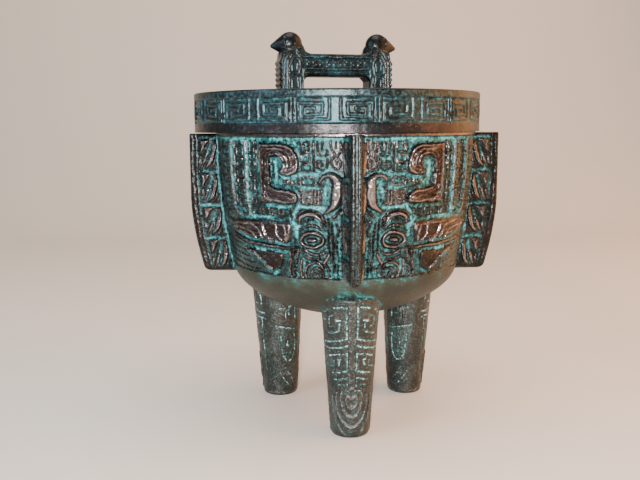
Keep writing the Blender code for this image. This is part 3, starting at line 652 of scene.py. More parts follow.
        (0.6, [(9.4, 164.4, 1.0), (14.6, 164.2, 1.2)]), (0.6, [(10.6, 171.8, 1.2), (14.2, 171.6, 1.2)]),
        (0.95, [(12.2, 143.4, 1.5), (22, 144.2, 1.6)]), (0.85, [(21.6, 145.6, 1.5), (24.6, 140.4, 1.2)]),
        (0.9, [(24.7, 141, 0.9), (24.9, 136.8, 1.4)]), (1.0, [(24.4, 126, 1.3), (24.4, 132.6, 1.9)]),
        (1.0, [(24.4, 132.6, 1.7), (27.3, 137.2, 1.3)]), (0.9, [(24.2, 133, 1.7), (22.9, 132.4, 1.0)]),
        (0.75, [(35, 137, 1.1), (47, 137, 1.3)]), (0.55, [(26, 143.1, 0.8), (41, 143.2, 0.9)]),
        (0.48, [(4.5, 182.3, 1.2), (60, 182.3, 1.2)]), (0.35, [(60, 182.3, 1.0), (89, 182.3, 1.0)]),
        (0.5, [(22.6, 178.4, 1.6), (24, 180.8, 1.8)]), (0.55, [(41.9, 120.4, 0.8), (58, 121.6, 0.8)]),
        (0.8, [(41.6, 116.4, 1.4), (47.4, 116.6, 1.4)]), (0.6, [(35.0, 104.4, 2.0), (37.6, 102.4, 2.4)]),
        (0.5, [(5, 104, 3.0), (11.4, 103.4, 3.0)]), (0.5, [(5.6, 128, 0.8), (5.8, 108, 1.0)]),
        (0.35, [(14.4, 124.2, 0.9), (17.8, 122.0, 1.0)]), (0.6, [(21.5, 113.4, 0.9), (22.2, 106, 0.8)]),
        (0.55, [(15.2, 109.2, 1.0), (17.6, 109.4, 1.0)]), (0.6, [(51, 139.6, 1.6), (54, 142, 1.2)]),
        (0.5, [(49.7, 140, 0.8), (49.7, 180, 0.8)]), (0.12, [(6, 100, 2.4), (84, 100, 2.4)]),
    ],
    "washes": [  # film, polish (rubbing and a painted highlight), outline
        (0.1, 0.35, [(3.6, 164), (9.6, 164), (10.2, 182), (3.6, 182)]),      # nose's top
        (0.07, 0.15, [(3.6, 102), (12.0, 102), (12.4, 128), (9.0, 142), (3.6, 142)]),
        (-0.25, 0.1, [(12.4, 121), (22, 121), (22, 129), (12.4, 129)]),      # eye
        (0.05, 0.15, [(10, 102), (25, 102), (24, 119), (12, 119)]),
        (0.08, 0.4, [(12.4, 145), (22, 145), (22, 154.4), (12.4, 154.4)]),
        (0.09, 0.0, [(60.6, 124), (89, 124), (89, 182), (60.6, 182)]),       # beside the flange
        (0.08, 0.0, [(46, 102), (89, 102), (89, 122), (62, 119), (50, 117)]),
    ],
}


class Chisel:
    # strokes in a field of the band, their points in degrees round it and mm up

    def __init__(self, field, s):
        self.field = field
        self.s = s
        self.perDegree = s["radius"] * pi / 180

    def path(self, points):
        return [(p[0] * self.perDegree,) + tuple(p[1:]) for p in points]

    def stroke(self, points, width=None, curve=True):
        way = self.path(points)
        return strokeDepth(self.field, curved(way) if curve else way, width)

    def line(self, points, width=None, height=None, soft=0.5, curve=True, polishAndHighlight=0):
        height = self.s["low"] if height is None else height
        raiseBy(self.field, self.stroke(points, width, curve), height, soft, polishAndHighlight)

    def mass(self, points, height, **ribs):
        found = shapeDepth(self.field, curved(self.path(points + points[:1]), 4))
        raiseBy(self.field, found, height, 3.2, **ribs)
        moatBy(self.field, found, 0.35)

    def cut(self, points, width, low):
        cutBy(self.field, self.stroke(points, width), low)

    def key(self, left, low, right, top, mirror=False, fromTop=True):
        s, half = self.s, self.s["keyLine"] / 2
        wide, tall = (right - left) * self.perDegree - 2 * half, top - low - 2 * half
        spiral = squareKey(left * self.perDegree + half, low + half, wide, tall, s["keyPitch"], mirror,
                           fromTop)
        # keys nearer the nose get a painted highlight as worn metal, and more verdigris film in their ground
        bright, high = (1, s["low"]) if left < s["brightKeys"] else (0.25, s["low"] * 0.75)
        raiseBy(self.field, strokeDepth(self.field, spiral, s["keyLine"]), high, 0.45, 0.85 * bright)
        ground = self.path([(left, low), (right, low), (right, top), (left, top)])
        washBy(self.field, shapeDepth(self.field, ground), 0.16 * bright, 0.0, 0.4)


def carveHorn(chisel, m, high):  # horn with its hook, and the brow
    chisel.mass(m["horn"], high, ribs=2.0, ribDepth=0.7, ribStart=1.5)
    # the lines in the hook are worn bright, partly a painted highlight
    for width, points in m["hornLines"]:
        chisel.line(points, width, high + 0.4, 0.8, polishAndHighlight=0.38)
    # the brow is worn bright across its top, partly a painted highlight
    brow = chisel.stroke(m["brow"])
    raiseBy(chisel.field, brow, high + 0.3, 3.0, 0.28)
    moatBy(chisel.field, brow, 0.6)
    chisel.line(m["browEdge"], 0.9, 1.1)


def carveCheek(chisel, m, high):  # cheek, and the claw under it
    chisel.mass(m["cheek"], high - 0.3, ribs=2.3, ribDepth=0.5, ribStart=1.9)
    chisel.line(m["cheekBone"], None, high - 0.3, 1.7)
    # the cheek's and claw's lines are worn bright, partly a painted highlight
    for width, points in m["cheekLines"]:
        chisel.line(points, width * 1.15, high + 0.5, 1.1, polishAndHighlight=0.5)
    chisel.mass(m["claw"], high - 0.8, ribs=2.0, ribDepth=0.5, ribStart=1.6)
    for width, rise, points in m["clawLines"]:
        chisel.line(points, width, rise, 0.9, polishAndHighlight=0.5 if rise > 2 else 0)
    chisel.cut(m["palm"], 2.0, 1.0)


def carveEye(chisel, m, s):
    chisel.line(oval(*m["eyeRing"]), 3.2, s["middle"] + 0.5, 1.6, False)
    ball = shapeDepth(chisel.field, chisel.path(oval(*m["eyeBall"])[:-1]))
    raiseBy(chisel.field, ball, s["high"] - 0.6, 2.0)
    chisel.cut(m["eyeSlit"], 1.7, 1.0)
    chisel.line(m["eyeShine"], 2.4, s["high"] + 0.2, 1.2, polishAndHighlight=0.7)  # the ring's top, painted bright as a highlight
    # the arcs over and under the eye are worn bright, partly a painted highlight
    for rise, points in m["eyeArcs"]:
        chisel.line([(x, z, width * 1.4) for x, z, width in points], None, rise + 0.1, 1.4, polishAndHighlight=0.3)
    for angle in m["lashes"]:
        chisel.cut([(angle, 131.2), (angle + 0.3, 134.2)], 0.7, 0.5)


def carveNose(chisel, m):  # nose and mouth
    for width, rise, points in m["nose"]:
        chisel.line(points, width, rise, 0.7)


def carveSide(chisel, m, s):  # ridges beside the horn with rungs between them, and lines round the foot
    for width, rise, soft, polishAndHighlight, points in m["uprights"]:
        chisel.line(points, width, rise, soft, polishAndHighlight=polishAndHighlight)
    for soft, _, points in m["ridges"]:
        chisel.line(points, 2.7, s["middle"] + 0.1, soft, polishAndHighlight=0.1)
    for i, low in enumerate(np.arange(141.5, 180, 6.1)):
        chisel.key(50.3, low, 54.9, low + 5.3, mirror=i % 2 == 0)
    for low in np.arange(138, 181, 4.3):
        chisel.line([(61.2, low + 1.2), (64.8, low + 0.3), (68.6, low)], 1.2)
        chisel.line([(62.4, low + 3.0), (65.2, low + 2.6)], 1.0)
    for low in np.arange(103.6, 118, 3.4):
        line = [(47 + (low - 104) * 0.9, low), (58, low + 0.6), (70, low + 2.4), (84, low + 3.4)]
        chisel.line(line, 1.1, s["low"] * 0.6, 0.6)
    chisel.line([(3.6, 101.6), (86.6, 101.6)], 1.1, 0.9, 0.5, False)


def carveGround(chisel, m):  # squared spirals and bars that fill what is left
    # the bars are worn bright, partly a painted highlight
    for width, points in m["bars"]:
        chisel.line(points, width, polishAndHighlight=0.4)
    for left, low, right, high, mirror in m["keys"]:
        chisel.key(left, low, right, high, mirror)
    low, high, *sides = m["rowKeys"]
    for left, right in sides:
        chisel.key(left, low, right, high, fromTop=left > 36)
    left, right, *levels = m["hornKeys"]
    for low, high in levels:
        chisel.key(left, low, right, high, mirror=low < 160)
    inner, outer, *levels = m["outerKeys"]
    for low, high in levels:
        chisel.key(inner[0], low, inner[1], high)
        chisel.key(outer[0], low, outer[1], high, mirror=True)


def stainMask(chisel, m):
    field = chisel.field
    for amount, points in m["pockets"]:
        stainBy(field, chisel.stroke(points), amount)
    for film, polishAndHighlight, outline in m["washes"]:
        washBy(field, shapeDepth(field, chisel.path(outline)), film, polishAndHighlight)
    for _, width, points in m["ridges"]:
        stainBy(field, chisel.stroke(points, width), 0.55)


def maskField(s, m, seed):
    perDegree = s["radius"] * pi / 180
    fine = np.arange(0, s["fineTo"] * perDegree, s["fineStep"])
    columns = int((90 - s["fineTo"]) * perDegree / s["coarseStep"])
    coarse = np.linspace(s["fineTo"] * perDegree, 90 * perDegree, columns)
    zs = np.append(np.arange(s["bottom"] - 4, bowlHigh - 0.2, s["fineStep"]), bowlHigh)
    field = newField(np.append(fine, coarse), zs, seed)
    chisel = Chisel(field, s)
    carveHorn(chisel, m, s["high"])
    carveCheek(chisel, m, s["high"])
    carveEye(chisel, m, s)
    carveNose(chisel, m)
    carveSide(chisel, m, s)
    carveGround(chisel, m)
    stainMask(chisel, m)
    field["height"] -= field["moat"] * smooth(0.9, 0.2, field["height"])
    roughen(field, seed + 1, s["rough"])
    rim = smooth(*s["rim"], field["z"]) * s["rimOut"]
    field["height"] = np.maximum(field["height"] * smooth(*s["carvedTo"], field["z"]), rim)
    return field


def makeWall(s, m, tree):
    panels = []
    for seed in (3, 4):  # the two sides of a mask aren't quite alike
        field = maskField(s, m, seed)
        settle(field, s["film"])
        inner = np.linspace(field["zs"][-1], field["zs"][0], 8)
        xs = field["xs"]
        front = np.stack([field["x"], field["height"], field["z"]], -1)
        back = np.stack(np.broadcast_arrays(xs, -s["wall"], inner[:, None]), -1)
        points = np.concatenate([front, back]) * mm
        values = {key: np.concatenate([field[key], np.zeros((len(inner), len(xs)))])
                  for key in ("stain", "wearAndHighlight", "raised")}
        panels.append(gridMesh("maskPanel", points, True, False, values))
        closeEnds(panels[-1])
    pieces = []
    for i, name in enumerate(("wallFrontLeft", "wallFrontRight", "wallBackLeft", "wallBackRight")):
        piece = newObject(name, panels[i % 2].copy())
        runTree(piece, tree, Radius=s["radius"] * mm, **{
            "Draw in": s["drawIn"] * mm, "Band top": s["top"] * mm,
            "Band height": (s["top"] - s["bottom"]) * mm,
            "Turn": pi * (i // 2), "Mirror": i in (0, 3), "Material": bowlBronze})
        shadeRound(piece.data, 70)
        pieces.append(piece)
    print("bowl wall: %d faces in each quarter" % len(panels[0].polygons))
    return pieces


def dress(pieces, node):
    for piece in pieces:
        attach(piece, "root")
        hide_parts(node)


dress(makeWall(band, mask, wrapTree()), "tripod_bowl")


# Plain underside and the inside of the bowl, one turned skin

shell = {
    "low": 64.0, "depth": 37.0, "fullness": 1.4, "columns": 200, "rows": 26,
    "legRing": 51.7, "legTop": 16.6,
    "haze": 0.27, "hazeHigh": 9.0,      # verdigris under the band
    "seam": 0.6, "seamWide": 4.6,       # and round the tops of the legs
}
undersideLook = {
    "dark": "#21261f", "warm": "#2f2a20", "haze": "#2a3a31", "sheen": 0.3, "dull": 0.5, "pitting": 1.0,
    "rub": 0.3, "spread": 0.08, "speckle": 1.6, "patchy": 1.6, "drift": 3.0, "grain": 1.0, "blotch": 3.0,
}
undersideBronze = makeBronze("sandCastBronze", dict(bronzeLook, **undersideLook))  # as rough as its mould


def undersideHeight(radius, s=shell, b=band):  # outer surface of the underside at a distance from the axis
    top = b["radius"] - b["drawIn"]
    return s["low"] + s["depth"] * (1 - np.sqrt(1 - np.clip(radius / top, 0, 1) ** s["fullness"]))


def makeShell(s, b):
    outer, inner = b["radius"] - b["drawIn"], b["radius"] - b["drawIn"] - b["wall"]
    shares = np.sin(np.linspace(0, pi / 2, s["rows"]))
    bulge = (1 - shares ** 2) ** (1 / s["fullness"])
    radius = np.concatenate([outer * bulge, inner * bulge[::-1]])
    depth, low = s["depth"] - b["wall"], s["low"] + b["wall"]
    level = np.concatenate([s["low"] + s["depth"] * (1 - shares), low + depth * (1 - shares[::-1])])
    points = turned(radius[:, None], np.linspace(0, 2 * pi, s["columns"], endpoint=False), level)
    x, y, z = points[..., 0], points[..., 1], points[..., 2]
    stain = s["haze"] * smooth(b["bottom"] - s["hazeHigh"], b["bottom"], z)
    for i in range(3):
        angle = 2 * pi * i / 3
        away = np.hypot(x - s["legRing"] * sin(angle), y + s["legRing"] * cos(angle))
        stain = np.maximum(stain, s["seam"] * smooth(s["seamWide"], 0.4, np.abs(away - s["legTop"] - 0.6)))
    mesh = gridMesh("bowlUnderside", points * mm, True, True, {"wearAndHighlight": np.zeros_like(z), "stain": stain})
    closeEnds(mesh)
    shadeRound(mesh, 60)
    mesh.materials.append(undersideBronze)
    print("bowlUnderside: %d faces" % len(mesh.polygons))
    return [newObject("bowlUnderside", mesh)]


dress(makeShell(shell, band), "tripod_bowl")


def ringTree():
    # stands copies of a piece round an axis, the first one turned by Start
    tree, given, output = newTree("standInRing", {
        "Count": ("Int", 4), "Start": ("Float", 0.0), "Centre": ("Vector", (0, 0, 0)),
        "Material": ("Material", None)})
    places = addNode(tree, "GeometryNodePoints", {"Count": given["Count"], "Position": given["Centre"]})
    index = addNode(tree, "GeometryNodeInputIndex")
    step = addNode(tree, "ShaderNodeMath", {0: 2 * pi, 1: given["Count"]}, operation="DIVIDE")
    turn = addNode(tree, "ShaderNodeMath", {0: index, 1: step, 2: given["Start"]}, operation="MULTIPLY_ADD")
    turn = addNode(tree, "ShaderNodeCombineXYZ", {2: turn})
    copies = addNode(tree, "GeometryNodeInstanceOnPoints", {
        "Points": places, "Instance": given["Geometry"], "Rotation": turn})
    endTree(tree, copies, given["Material"], output)
    return tree


standInRing = ringTree()


def standRound(name, mesh, material, **values):
    piece = runTree(newObject(name, mesh), standInRing, Material=material, **values)
    closeEnds(piece.data)
    shadeRound(piece.data, 60)
    print("%s: %d faces" % (name, len(piece.data.polygons)))
    return [piece]


# Flanges: four cells of hanging leaves on each face. X in mm out from the wall, Z in mm.

flange = {
    "reach": 19.3, "root": 12.0, "edge": 5.2, "border": 5.5, "cells": 4, "high": 185.0,
    "bend": 142.5, "bendHeight": 48.5, "drawIn": 8.4,  # the outer edge is upright above, drawn in below
    "low": {"noseFlanges": 100.0, "sideFlanges": 94.0}, "cellFoot": 94.8,
    "step": 0.47, "corner": 3.0, "topCorner": 1.2, "tongue": 24.0, "round": 0.8, "leaf": 1.2, "rough": 0.12,
    "bendPower": 1.7, "carvingEnds": 1.6,              # the carving fades out over this much at both ends
    "edgeStain": 0.14, "edgeWearAndHighlight": 0.24, "edgeRaised": 0.2,
    "split": 0.4,                                      # depth of the groove along the outer edge
    "topEase": (0.9, 0.16), "footEase": (3.6, 0.5), "tongueThin": 0.1,  # it is thinner there: mm, share
    # in a cell, places are shares of it: from the root outwards, and up
    "blade": [
        (0.95, 0.94), (0.66, 0.95), (0.42, 0.94), (0.52, 0.82), (0.66, 0.66), (0.84, 0.50), (0.94, 0.54),
        (0.95, 0.94),
    ],
    "leaves": [  # height in leaf heights, polish (rubbing and a painted highlight), points with their widths in mm
        (1.1, 0.3, [(0.82, 0.88, 1.0), (0.76, 0.72, 1.4), (0.86, 0.56, 1.0)]),
        (1, 0, [(0.17, 0.94, 1.4), (0.22, 0.66, 3.0), (0.38, 0.34, 3.4), (0.66, 0.06, 1.4)]),
        (1.2, 0.42, [(0.26, 0.86, 0.9), (0.33, 0.58, 1.4), (0.46, 0.32, 1.7), (0.64, 0.12, 1.0)]),
        (1, 0.3, [(0.54, 0.58, 1.0), (0.66, 0.36, 2.4), (0.88, 0.07, 1.2)]),
        (0.9, 0.35, [(0.90, 0.46, 0.8), (0.92, 0.30, 1.4), (0.96, 0.14, 0.8)]),
        (0.7, 0, [(0.10, 0.44, 1.0), (0.19, 0.20, 2.2), (0.34, 0.05, 1.0)]),
    ],
    "grooves": [  # stain, width, points
        (0.62, 1.1, [(0.04, 0.99), (0.97, 0.99)]), (0.5, 0.8, [(0.36, 0.86), (0.46, 0.66), (0.60, 0.50)]),
        (0.4, 0.7, [(0.50, 0.46), (0.60, 0.28), (0.76, 0.06)]),
        (0.35, 0.6, [(0.98, 0.92), (0.97, 0.50), (0.99, 0.10)]),
    ],
}


def flangeField(s, b, low):
    inner = s["reach"] - s["border"]
    us = np.arange(-2.0, s["reach"] - s["round"], s["step"])
    field = newField(us, np.arange(low, s["high"] + 0.01, s["step"]), 5, 0.25)
    pitch = (b["top"] - s["cellFoot"]) / s["cells"]

    def inCell(points, foot):
        return [(p[0] * inner, foot + p[1] * pitch) + tuple(p[2:]) for p in points]

    for cell in range(s["cells"]):
        foot = s["cellFoot"] + pitch * cell
        raiseBy(field, shapeDepth(field, curved(inCell(s["blade"], foot), 3)), s["leaf"] * 0.8, 1.6)
        for rise, polishAndHighlight, points in s["leaves"]:
            raiseBy(field, strokeDepth(field, curved(inCell(points, foot))), s["leaf"] * rise, 1.2, polishAndHighlight)
        for amount, width, points in s["grooves"]:
            groove = strokeDepth(field, inCell(points, foot), width)
            stainBy(field, groove, amount, 0.5)
            cutBy(field, groove, 0.3)
    stainBy(field, strokeDepth(field, [(0.6, low), (0.6, s["high"])], 1.8), 0.62)
    for u, width, height in ((inner + 1.1, 1.0, 0.35), (inner + 3.7, 1.4, 0.3)):
        raiseBy(field, strokeDepth(field, [(u, low + 1), (u, s["high"] - 0.5)], width), height)
    roughen(field, 5, s["rough"])
    settle(field)
    return field


def makeFlanges(s, b, name, turn):
    low = s["low"][name]
    field = flangeField(s, b, low)
    us, zs = field["xs"], field["zs"]
    half = np.interp(us, [0, s["reach"]], [s["root"] / 2, s["edge"] / 2])
    lip, turnIn = s["edge"] / 2 - s["round"], s["reach"] - s["round"]
    corner = [(s["round"] * sin(a), s["round"] * cos(a), sin(a), cos(a))
              for a in np.linspace(0, pi / 2, 5)[1:-1]]
    columns = [(u, -h, 0, -1) for u, h in zip(us, half)]  # out, across, and the way each column faces
    columns += [(turnIn + u, -lip - v, faceU, -faceV) for u, v, faceU, faceV in corner]
    columns += [(s["reach"], v, 1, 0) for v in np.linspace(-lip, lip, 13)]
    columns += [(turnIn + v, lip + u, faceV, faceU) for u, v, faceU, faceV in corner]
    columns += [(u, h, 0, 1) for u, h in zip(us[::-1], half[::-1])]
    out, side, faceOut, faceSide = np.array(columns).T
    edge = s["split"] * smooth(0.5, 1.3, np.abs(side[len(us):-len(us)])) - s["split"]
    rows = len(zs)
    grain = np.random.default_rng(9).standard_normal((rows, len(edge))) * s["rough"] * 0.6

    def whole(key, middle):
        return np.concatenate([field[key], middle + np.zeros((rows, 1)), field[key][:, ::-1]], 1)

    ends = smooth(0, s["carvingEnds"], np.minimum(zs - low, s["high"] - zs))[:, None]
    height = whole("height", edge + blurred(grain, 1)) * ends
    below = np.clip((low + s["corner"] - zs) / s["corner"], 0, 1)
    above = np.clip((zs - s["high"] + s["topCorner"]) / s["topCorner"], 0, 1)
    pull = s["corner"] * (1 - np.sqrt(1 - below ** 2)) + s["topCorner"] * (1 - np.sqrt(1 - above ** 2))
    tongue = np.clip(1 - (zs - low) / s["tongue"], 0, 1)
    (topHigh, topThin), (footHigh, footThin) = s["topEase"], s["footEase"]
    soft = 1 - topThin * np.clip(1 - (s["high"] - zs) / topHigh, 0, 1) ** 2
    soft *= 1 - s["tongueThin"] * tongue - footThin * np.clip(1 - (zs - low) / footHigh, 0, 1) ** 2
    drop = (b["top"] - np.minimum(zs, b["top"])) / (b["top"] - b["bottom"])
    wall = b["radius"] - b["drawIn"] * drop ** 2
    bent = np.clip((s["bend"] - zs) / s["bendHeight"], 0, 1) ** s["bendPower"]
    depth = b["radius"] + s["reach"] - s["drawIn"] * bent - wall - pull
    reach = wall[:, None] + out * np.where(out > 0, depth[:, None] / s["reach"], 1) + height * faceOut
    width = side * soft[:, None] + height * faceSide
    points = np.stack([width, -reach, np.repeat(zs[:, None], len(out), 1)], -1)
    # the ridges either side of the edge's groove are worn bright, partly a painted highlight
    values = {"stain": whole("stain", s["edgeStain"] + 0 * edge),
              "wearAndHighlight": whole("wearAndHighlight", s["edgeWearAndHighlight"] + edge / 2),
              "raised": whole("raised", s["edgeRaised"] + 0 * edge)}
    mesh = gridMesh(name, points * mm, False, True, values)
    return standRound(name, mesh, bowlBronze, Count=2, Start=turn)


for name, turn in (("noseFlanges", 0.0), ("sideFlanges", pi / 2)):
    dress(makeFlanges(flange, band, name, turn), "tripod_bowl")


# Legs: squared scrolls either side of a plain bar, with a heart in hanging rings under them. The backs have
# a loop under a line. X in mm of arc from the middle, Z in mm.

leg = {
    "foot": 11.7, "top": 17.9, "height": 90.0, "shoulder": 89.2, "ease": 2.4, "splay": 1.2,
    "columns": 168, "step": 0.6,
    "footRound": 1.4, "footIn": 0.12,  # its edge: mm high, and a share of the radius
    "topStain": 0.25,
    "depth": 0.6, "raise": 0.5, "sunk": 2.0, "rough": 0.1,  # sunk: how far the top goes into the bowl
    "barHalf": (2.6, 2.0), "barFrom": (31, 34), "barOut": 0.2,
    "ringsAcross": (26, 20), "ringsUp": (32.5, 29.5), "ringsIn": 0.8,
    "front": {
        "seed": 8,
        "grooves": [  # width, how green, points
            (1.0, 0.85, [(3.6, 64.8), (3.4, 83.6), (12.5, 83.2)]),
            (0.9, 0.85, [(16.5, 81.4), (19.5, 81.0), (19.5, 79.2), (26, 78.8)]),
            (1.1, 0.85, [(7.2, 75.9), (10.0, 75.4)]),
            (0.9, 0.85, [(8.3, 74.2), (8.4, 68.9), (14, 67.0), (20, 66.4)]),
            (0.8, 0.5, [(12.2, 78.6), (16.4, 77.4), (16.2, 71.0), (12.6, 71.8)]),
            (0.8, 0.5, [(19.6, 74.8), (23.4, 74.2), (23.2, 70.6)]),
            (0.9, 0.85, [(3.3, 64.3), (10, 62.6), (18, 60.9), (27, 60.2)]),
            (0.9, 0.85, [(3.3, 60.0), (10, 58.4), (18, 57.0), (27, 56.4)]),
            (1.0, 0.85, [(18.5, 52.0), (12, 53.6), (3.3, 55.2)]),
            (1.0, 0.85, [(3.2, 55.2), (3.2, 44.6), (8, 43.2), (16.5, 42.0)]),
            (1.1, 0.85, [(8.7, 51.0), (9.2, 47.2)]), (0.8, 0.85, [(8.0, 51.0), (10.0, 50.8)]),
            (0.8, 0.5, [(13.6, 49.6), (13.8, 46.0), (20.5, 45.0), (20.8, 50.4)]),
            (0.9, 0.85, [(3.2, 39.8), (9.0, 38.8), (15.5, 37.4)]), (0.8, 0.5, [(3.2, 39.6), (3.2, 34.2)]),
            (0.8, 0.5, [(7.2, 35.4), (11.0, 34.6)]),
        ],
        "rings": [  # width, points
            (2.6, [(0, 25.6), (1.8, 27.0), (4.2, 26.6), (5.0, 24.6), (3.4, 21.6), (0, 18.8)]),
            (2.8, [(8.4, 29.4), (9.0, 24.4), (7.0, 18.8), (3.4, 15.0), (0, 13.6)]),
            (2.8, [(12.8, 28.6), (13.0, 20.8), (10.2, 14.0), (5.4, 9.0), (0, 7.4)]),
            (2.4, [(16.8, 26.6), (16.6, 16.4), (13.6, 8.8), (8.6, 3.8)]),
        ],
        "curves": [  # width, how green, points
            (0.9, 0.4, [(1.4, 30.8), (4.6, 31.6), (7.0, 30.6)]),
            (0.9, 0.4, [(0.2, 23.6), (1.8, 24.2), (1.0, 22.0)]),
            (0.8, 0.5, [(10.6, 17.6), (7.6, 12.8), (3.6, 10.2)]),
            (0.8, 0.55, [(14.9, 22.0), (13.6, 13.6), (10.6, 8.6)]),
            (0.8, 0.5, [(7.0, 3.4), (3.0, 2.4)]), (0.8, 0.6, [(23.4, 55.6), (23.6, 36), (22.8, 14)]),
            (0.8, 0.6, [(24.0, 77.0), (23.8, 67.0)]),
        ],
        "patches": [],
    },
    "back": {
        "seed": 7,
        "grooves": [
            (0.8, 0.5, [(4.4, 71.0), (12.0, 72.0), (18.0, 72.4)]),
            (0.9, 0.6, [(4.4, 57.0), (4.4, 65.4), (10.0, 65.2), (10.2, 59.4), (7.2, 59.6)]),
            (0.8, 0.5, [(12.6, 56.6), (12.8, 64.4), (17.2, 63.8)]),
            (1.0, 0.85, [(10.8, 40.6), (11.4, 37.6)]),
        ],
        "rings": [],
        "curves": [
            (0.9, 0.6, [(4.0, 48.6), (12.0, 50.0), (20.6, 51.6)]),
            (0.9, 0.7, [(3.8, 44.8), (3.7, 32.4), (6.6, 27.0), (11.4, 26.2), (15.4, 31.6), (16.8, 44.6)]),
            (0.8, 0.6, [(8.4, 7.4), (13.4, 11.4), (18.6, 17.6)]),
            (0.7, 0.35, [(3.0, 10.5), (8.0, 14.6), (13.0, 21.0)]),
        ],
        "patches": [(0.13, [(3, 47), (3, 29), (9, 25), (17, 31), (20, 48)])],  # verdigris: amount, outline
    },
}
legLook = {
    "dark": "#202524", "warm": "#362d2a", "haze": "#374c49", "sheen": 0.5, "dull": 0.34, "rub": 1.0,
    "spread": 0.1, "speckle": 3.8, "pitting": 1.0, "grain": 0.9, "pale": "#93c8c8", "paleFrom": 0.7,
    "paleTo": 1.15,
}
legBronze = makeBronze("dullBronze", dict(bronzeLook, **legLook))  # greyer and chalkier, handled less


def legField(s, side):  # half of a leg's front or back, a quarter of a turn
    field = newField(np.linspace(0, s["top"] * pi / 2, s["columns"] // 4 + 1),
                     np.arange(0, s["height"], s["step"]), side["seed"], 0.25)
    x, z = field["x"], field["z"]
    field["height"] += s["raise"]

    def groove(points, width, green):
        cutBy(field, strokeDepth(field, points, width), s["depth"], 0.35)
        stainBy(field, strokeDepth(field, points, width * 0.7), green * 0.8, 0.4)

    for width, green, points in side["grooves"]:
        groove(points, width, green)
    low = smooth(*s["ringsAcross"], x) if side["rings"] else np.zeros_like(x)
    field["height"] *= 1 - s["ringsIn"] * smooth(*s["ringsUp"], z) * low  # the rings lie in lower ground
    for width, points in side["rings"]:
        raiseBy(field, strokeDepth(field, curved(points), width * 1.15), 0.9, 1.5)
    for width, green, points in side["curves"]:
        groove(curved(points), width, green)
    for amount, outline in side["patches"]:
        stainBy(field, shapeDepth(field, outline), amount, 4.0)
    field["height"] += s["barOut"] * smooth(*s["barHalf"], x) * smooth(*s["barFrom"], z)
    roughen(field, side["seed"] + 4, s["rough"])
    field["height"] *= smooth(0.4, 2.4, z)
    around = blurred(field["height"], 3)
    field["stain"] = np.clip(field["stain"] + 0.3 * np.clip((around - field["height"]) / 0.4, 0, 1), 0, 1)
    low = low * smooth(33, 28, z)
    field["stain"] = field["stain"] * (1 - 0.8 * low) + 0.03 * low
    # ridge tops are worn bright, partly a painted highlight
    field["wearAndHighlight"] = 0.6 * np.clip((field["height"] - around) / 0.3, 0, 1) * (1 - 0.3 * low)
    return field


def makeLegs(s, h):
    field, rear = legField(s, s["front"]), legField(s, s["back"])
    turns = np.linspace(0, 2 * pi, s["columns"], endpoint=False)
    quarters = {}
    for key in ("height", "stain", "wearAndHighlight"):
        half = np.concatenate([field[key], rear[key][:, -2::-1]], 1)  # the quarters meet at the side
        quarters[key] = np.concatenate([half, half[:, -2:0:-1]], 1)
    lean = tan(radians(s["splay"]))
    edge = s["footRound"]
    foot = [(share, 0.0) for share in np.linspace(0, 1 - s["footIn"], 6)]
    foot += [(1 - s["footIn"] * (1 - sin(a)), edge - edge * cos(a)) for a in np.linspace(0, pi / 2, 5)[1:]]
    rows = [(share, z, 0) for share, z in foot]
    shoulder = s["shoulder"] - s["ease"]
    rows += [(1, z, i) for i, z in enumerate(field["zs"]) if edge + 0.1 < z < shoulder]
    last = rows[-1][2]
    ease = s["ease"] / s["top"]
    arc = np.linspace(0, pi / 2, 7)
    rows += [(1 - ease * (1 - cos(a)), shoulder + s["ease"] * sin(a), last) for a in arc]
    rows += [(share, s["shoulder"], last) for share in np.linspace(1 - ease, 0, 14)[1:]]
    share, level, source = np.array(rows).T
    source = source.astype(int)
    height = quarters["height"][source] * smooth(1 - ease, 1, share)[:, None]
    z = np.repeat(level[:, None], len(turns), 1)

    def place(z):
        radius = (s["foot"] + (s["top"] - s["foot"]) * z / s["height"] + height) * share[:, None]
        return radius * np.sin(turns), -h["legRing"] - radius * np.cos(turns) - z * lean

    for i in range(6):  # the top is cut to the bowl's underside
        x, y = place(z)
        z = np.minimum(level[:, None], undersideHeight(np.hypot(x, y)) + s["sunk"])
    x, y = place(z)
    values = {key: quarters[key][source] for key in ("stain", "wearAndHighlight")}
    values["stain"] = values["stain"] + s["topStain"] * smooth(shoulder, s["shoulder"], level)[:, None]
    mesh = gridMesh("leg", np.stack([x, y, z], -1) * mm, False, True, values)
    legs = []
    for name, start in (("frontLeg", 0.0), ("leftLeg", -2 * pi / 3), ("rightLeg", 2 * pi / 3)):
        legs += standRound(name, mesh.copy(), legBronze, Count=1, Start=start)
    return legs


dress(makeLegs(leg, shell), "tripod_bowl")


# Lid: a drum with a row of mirrored keys, made as one twelfth of a turn. X in degrees, Z in mm.

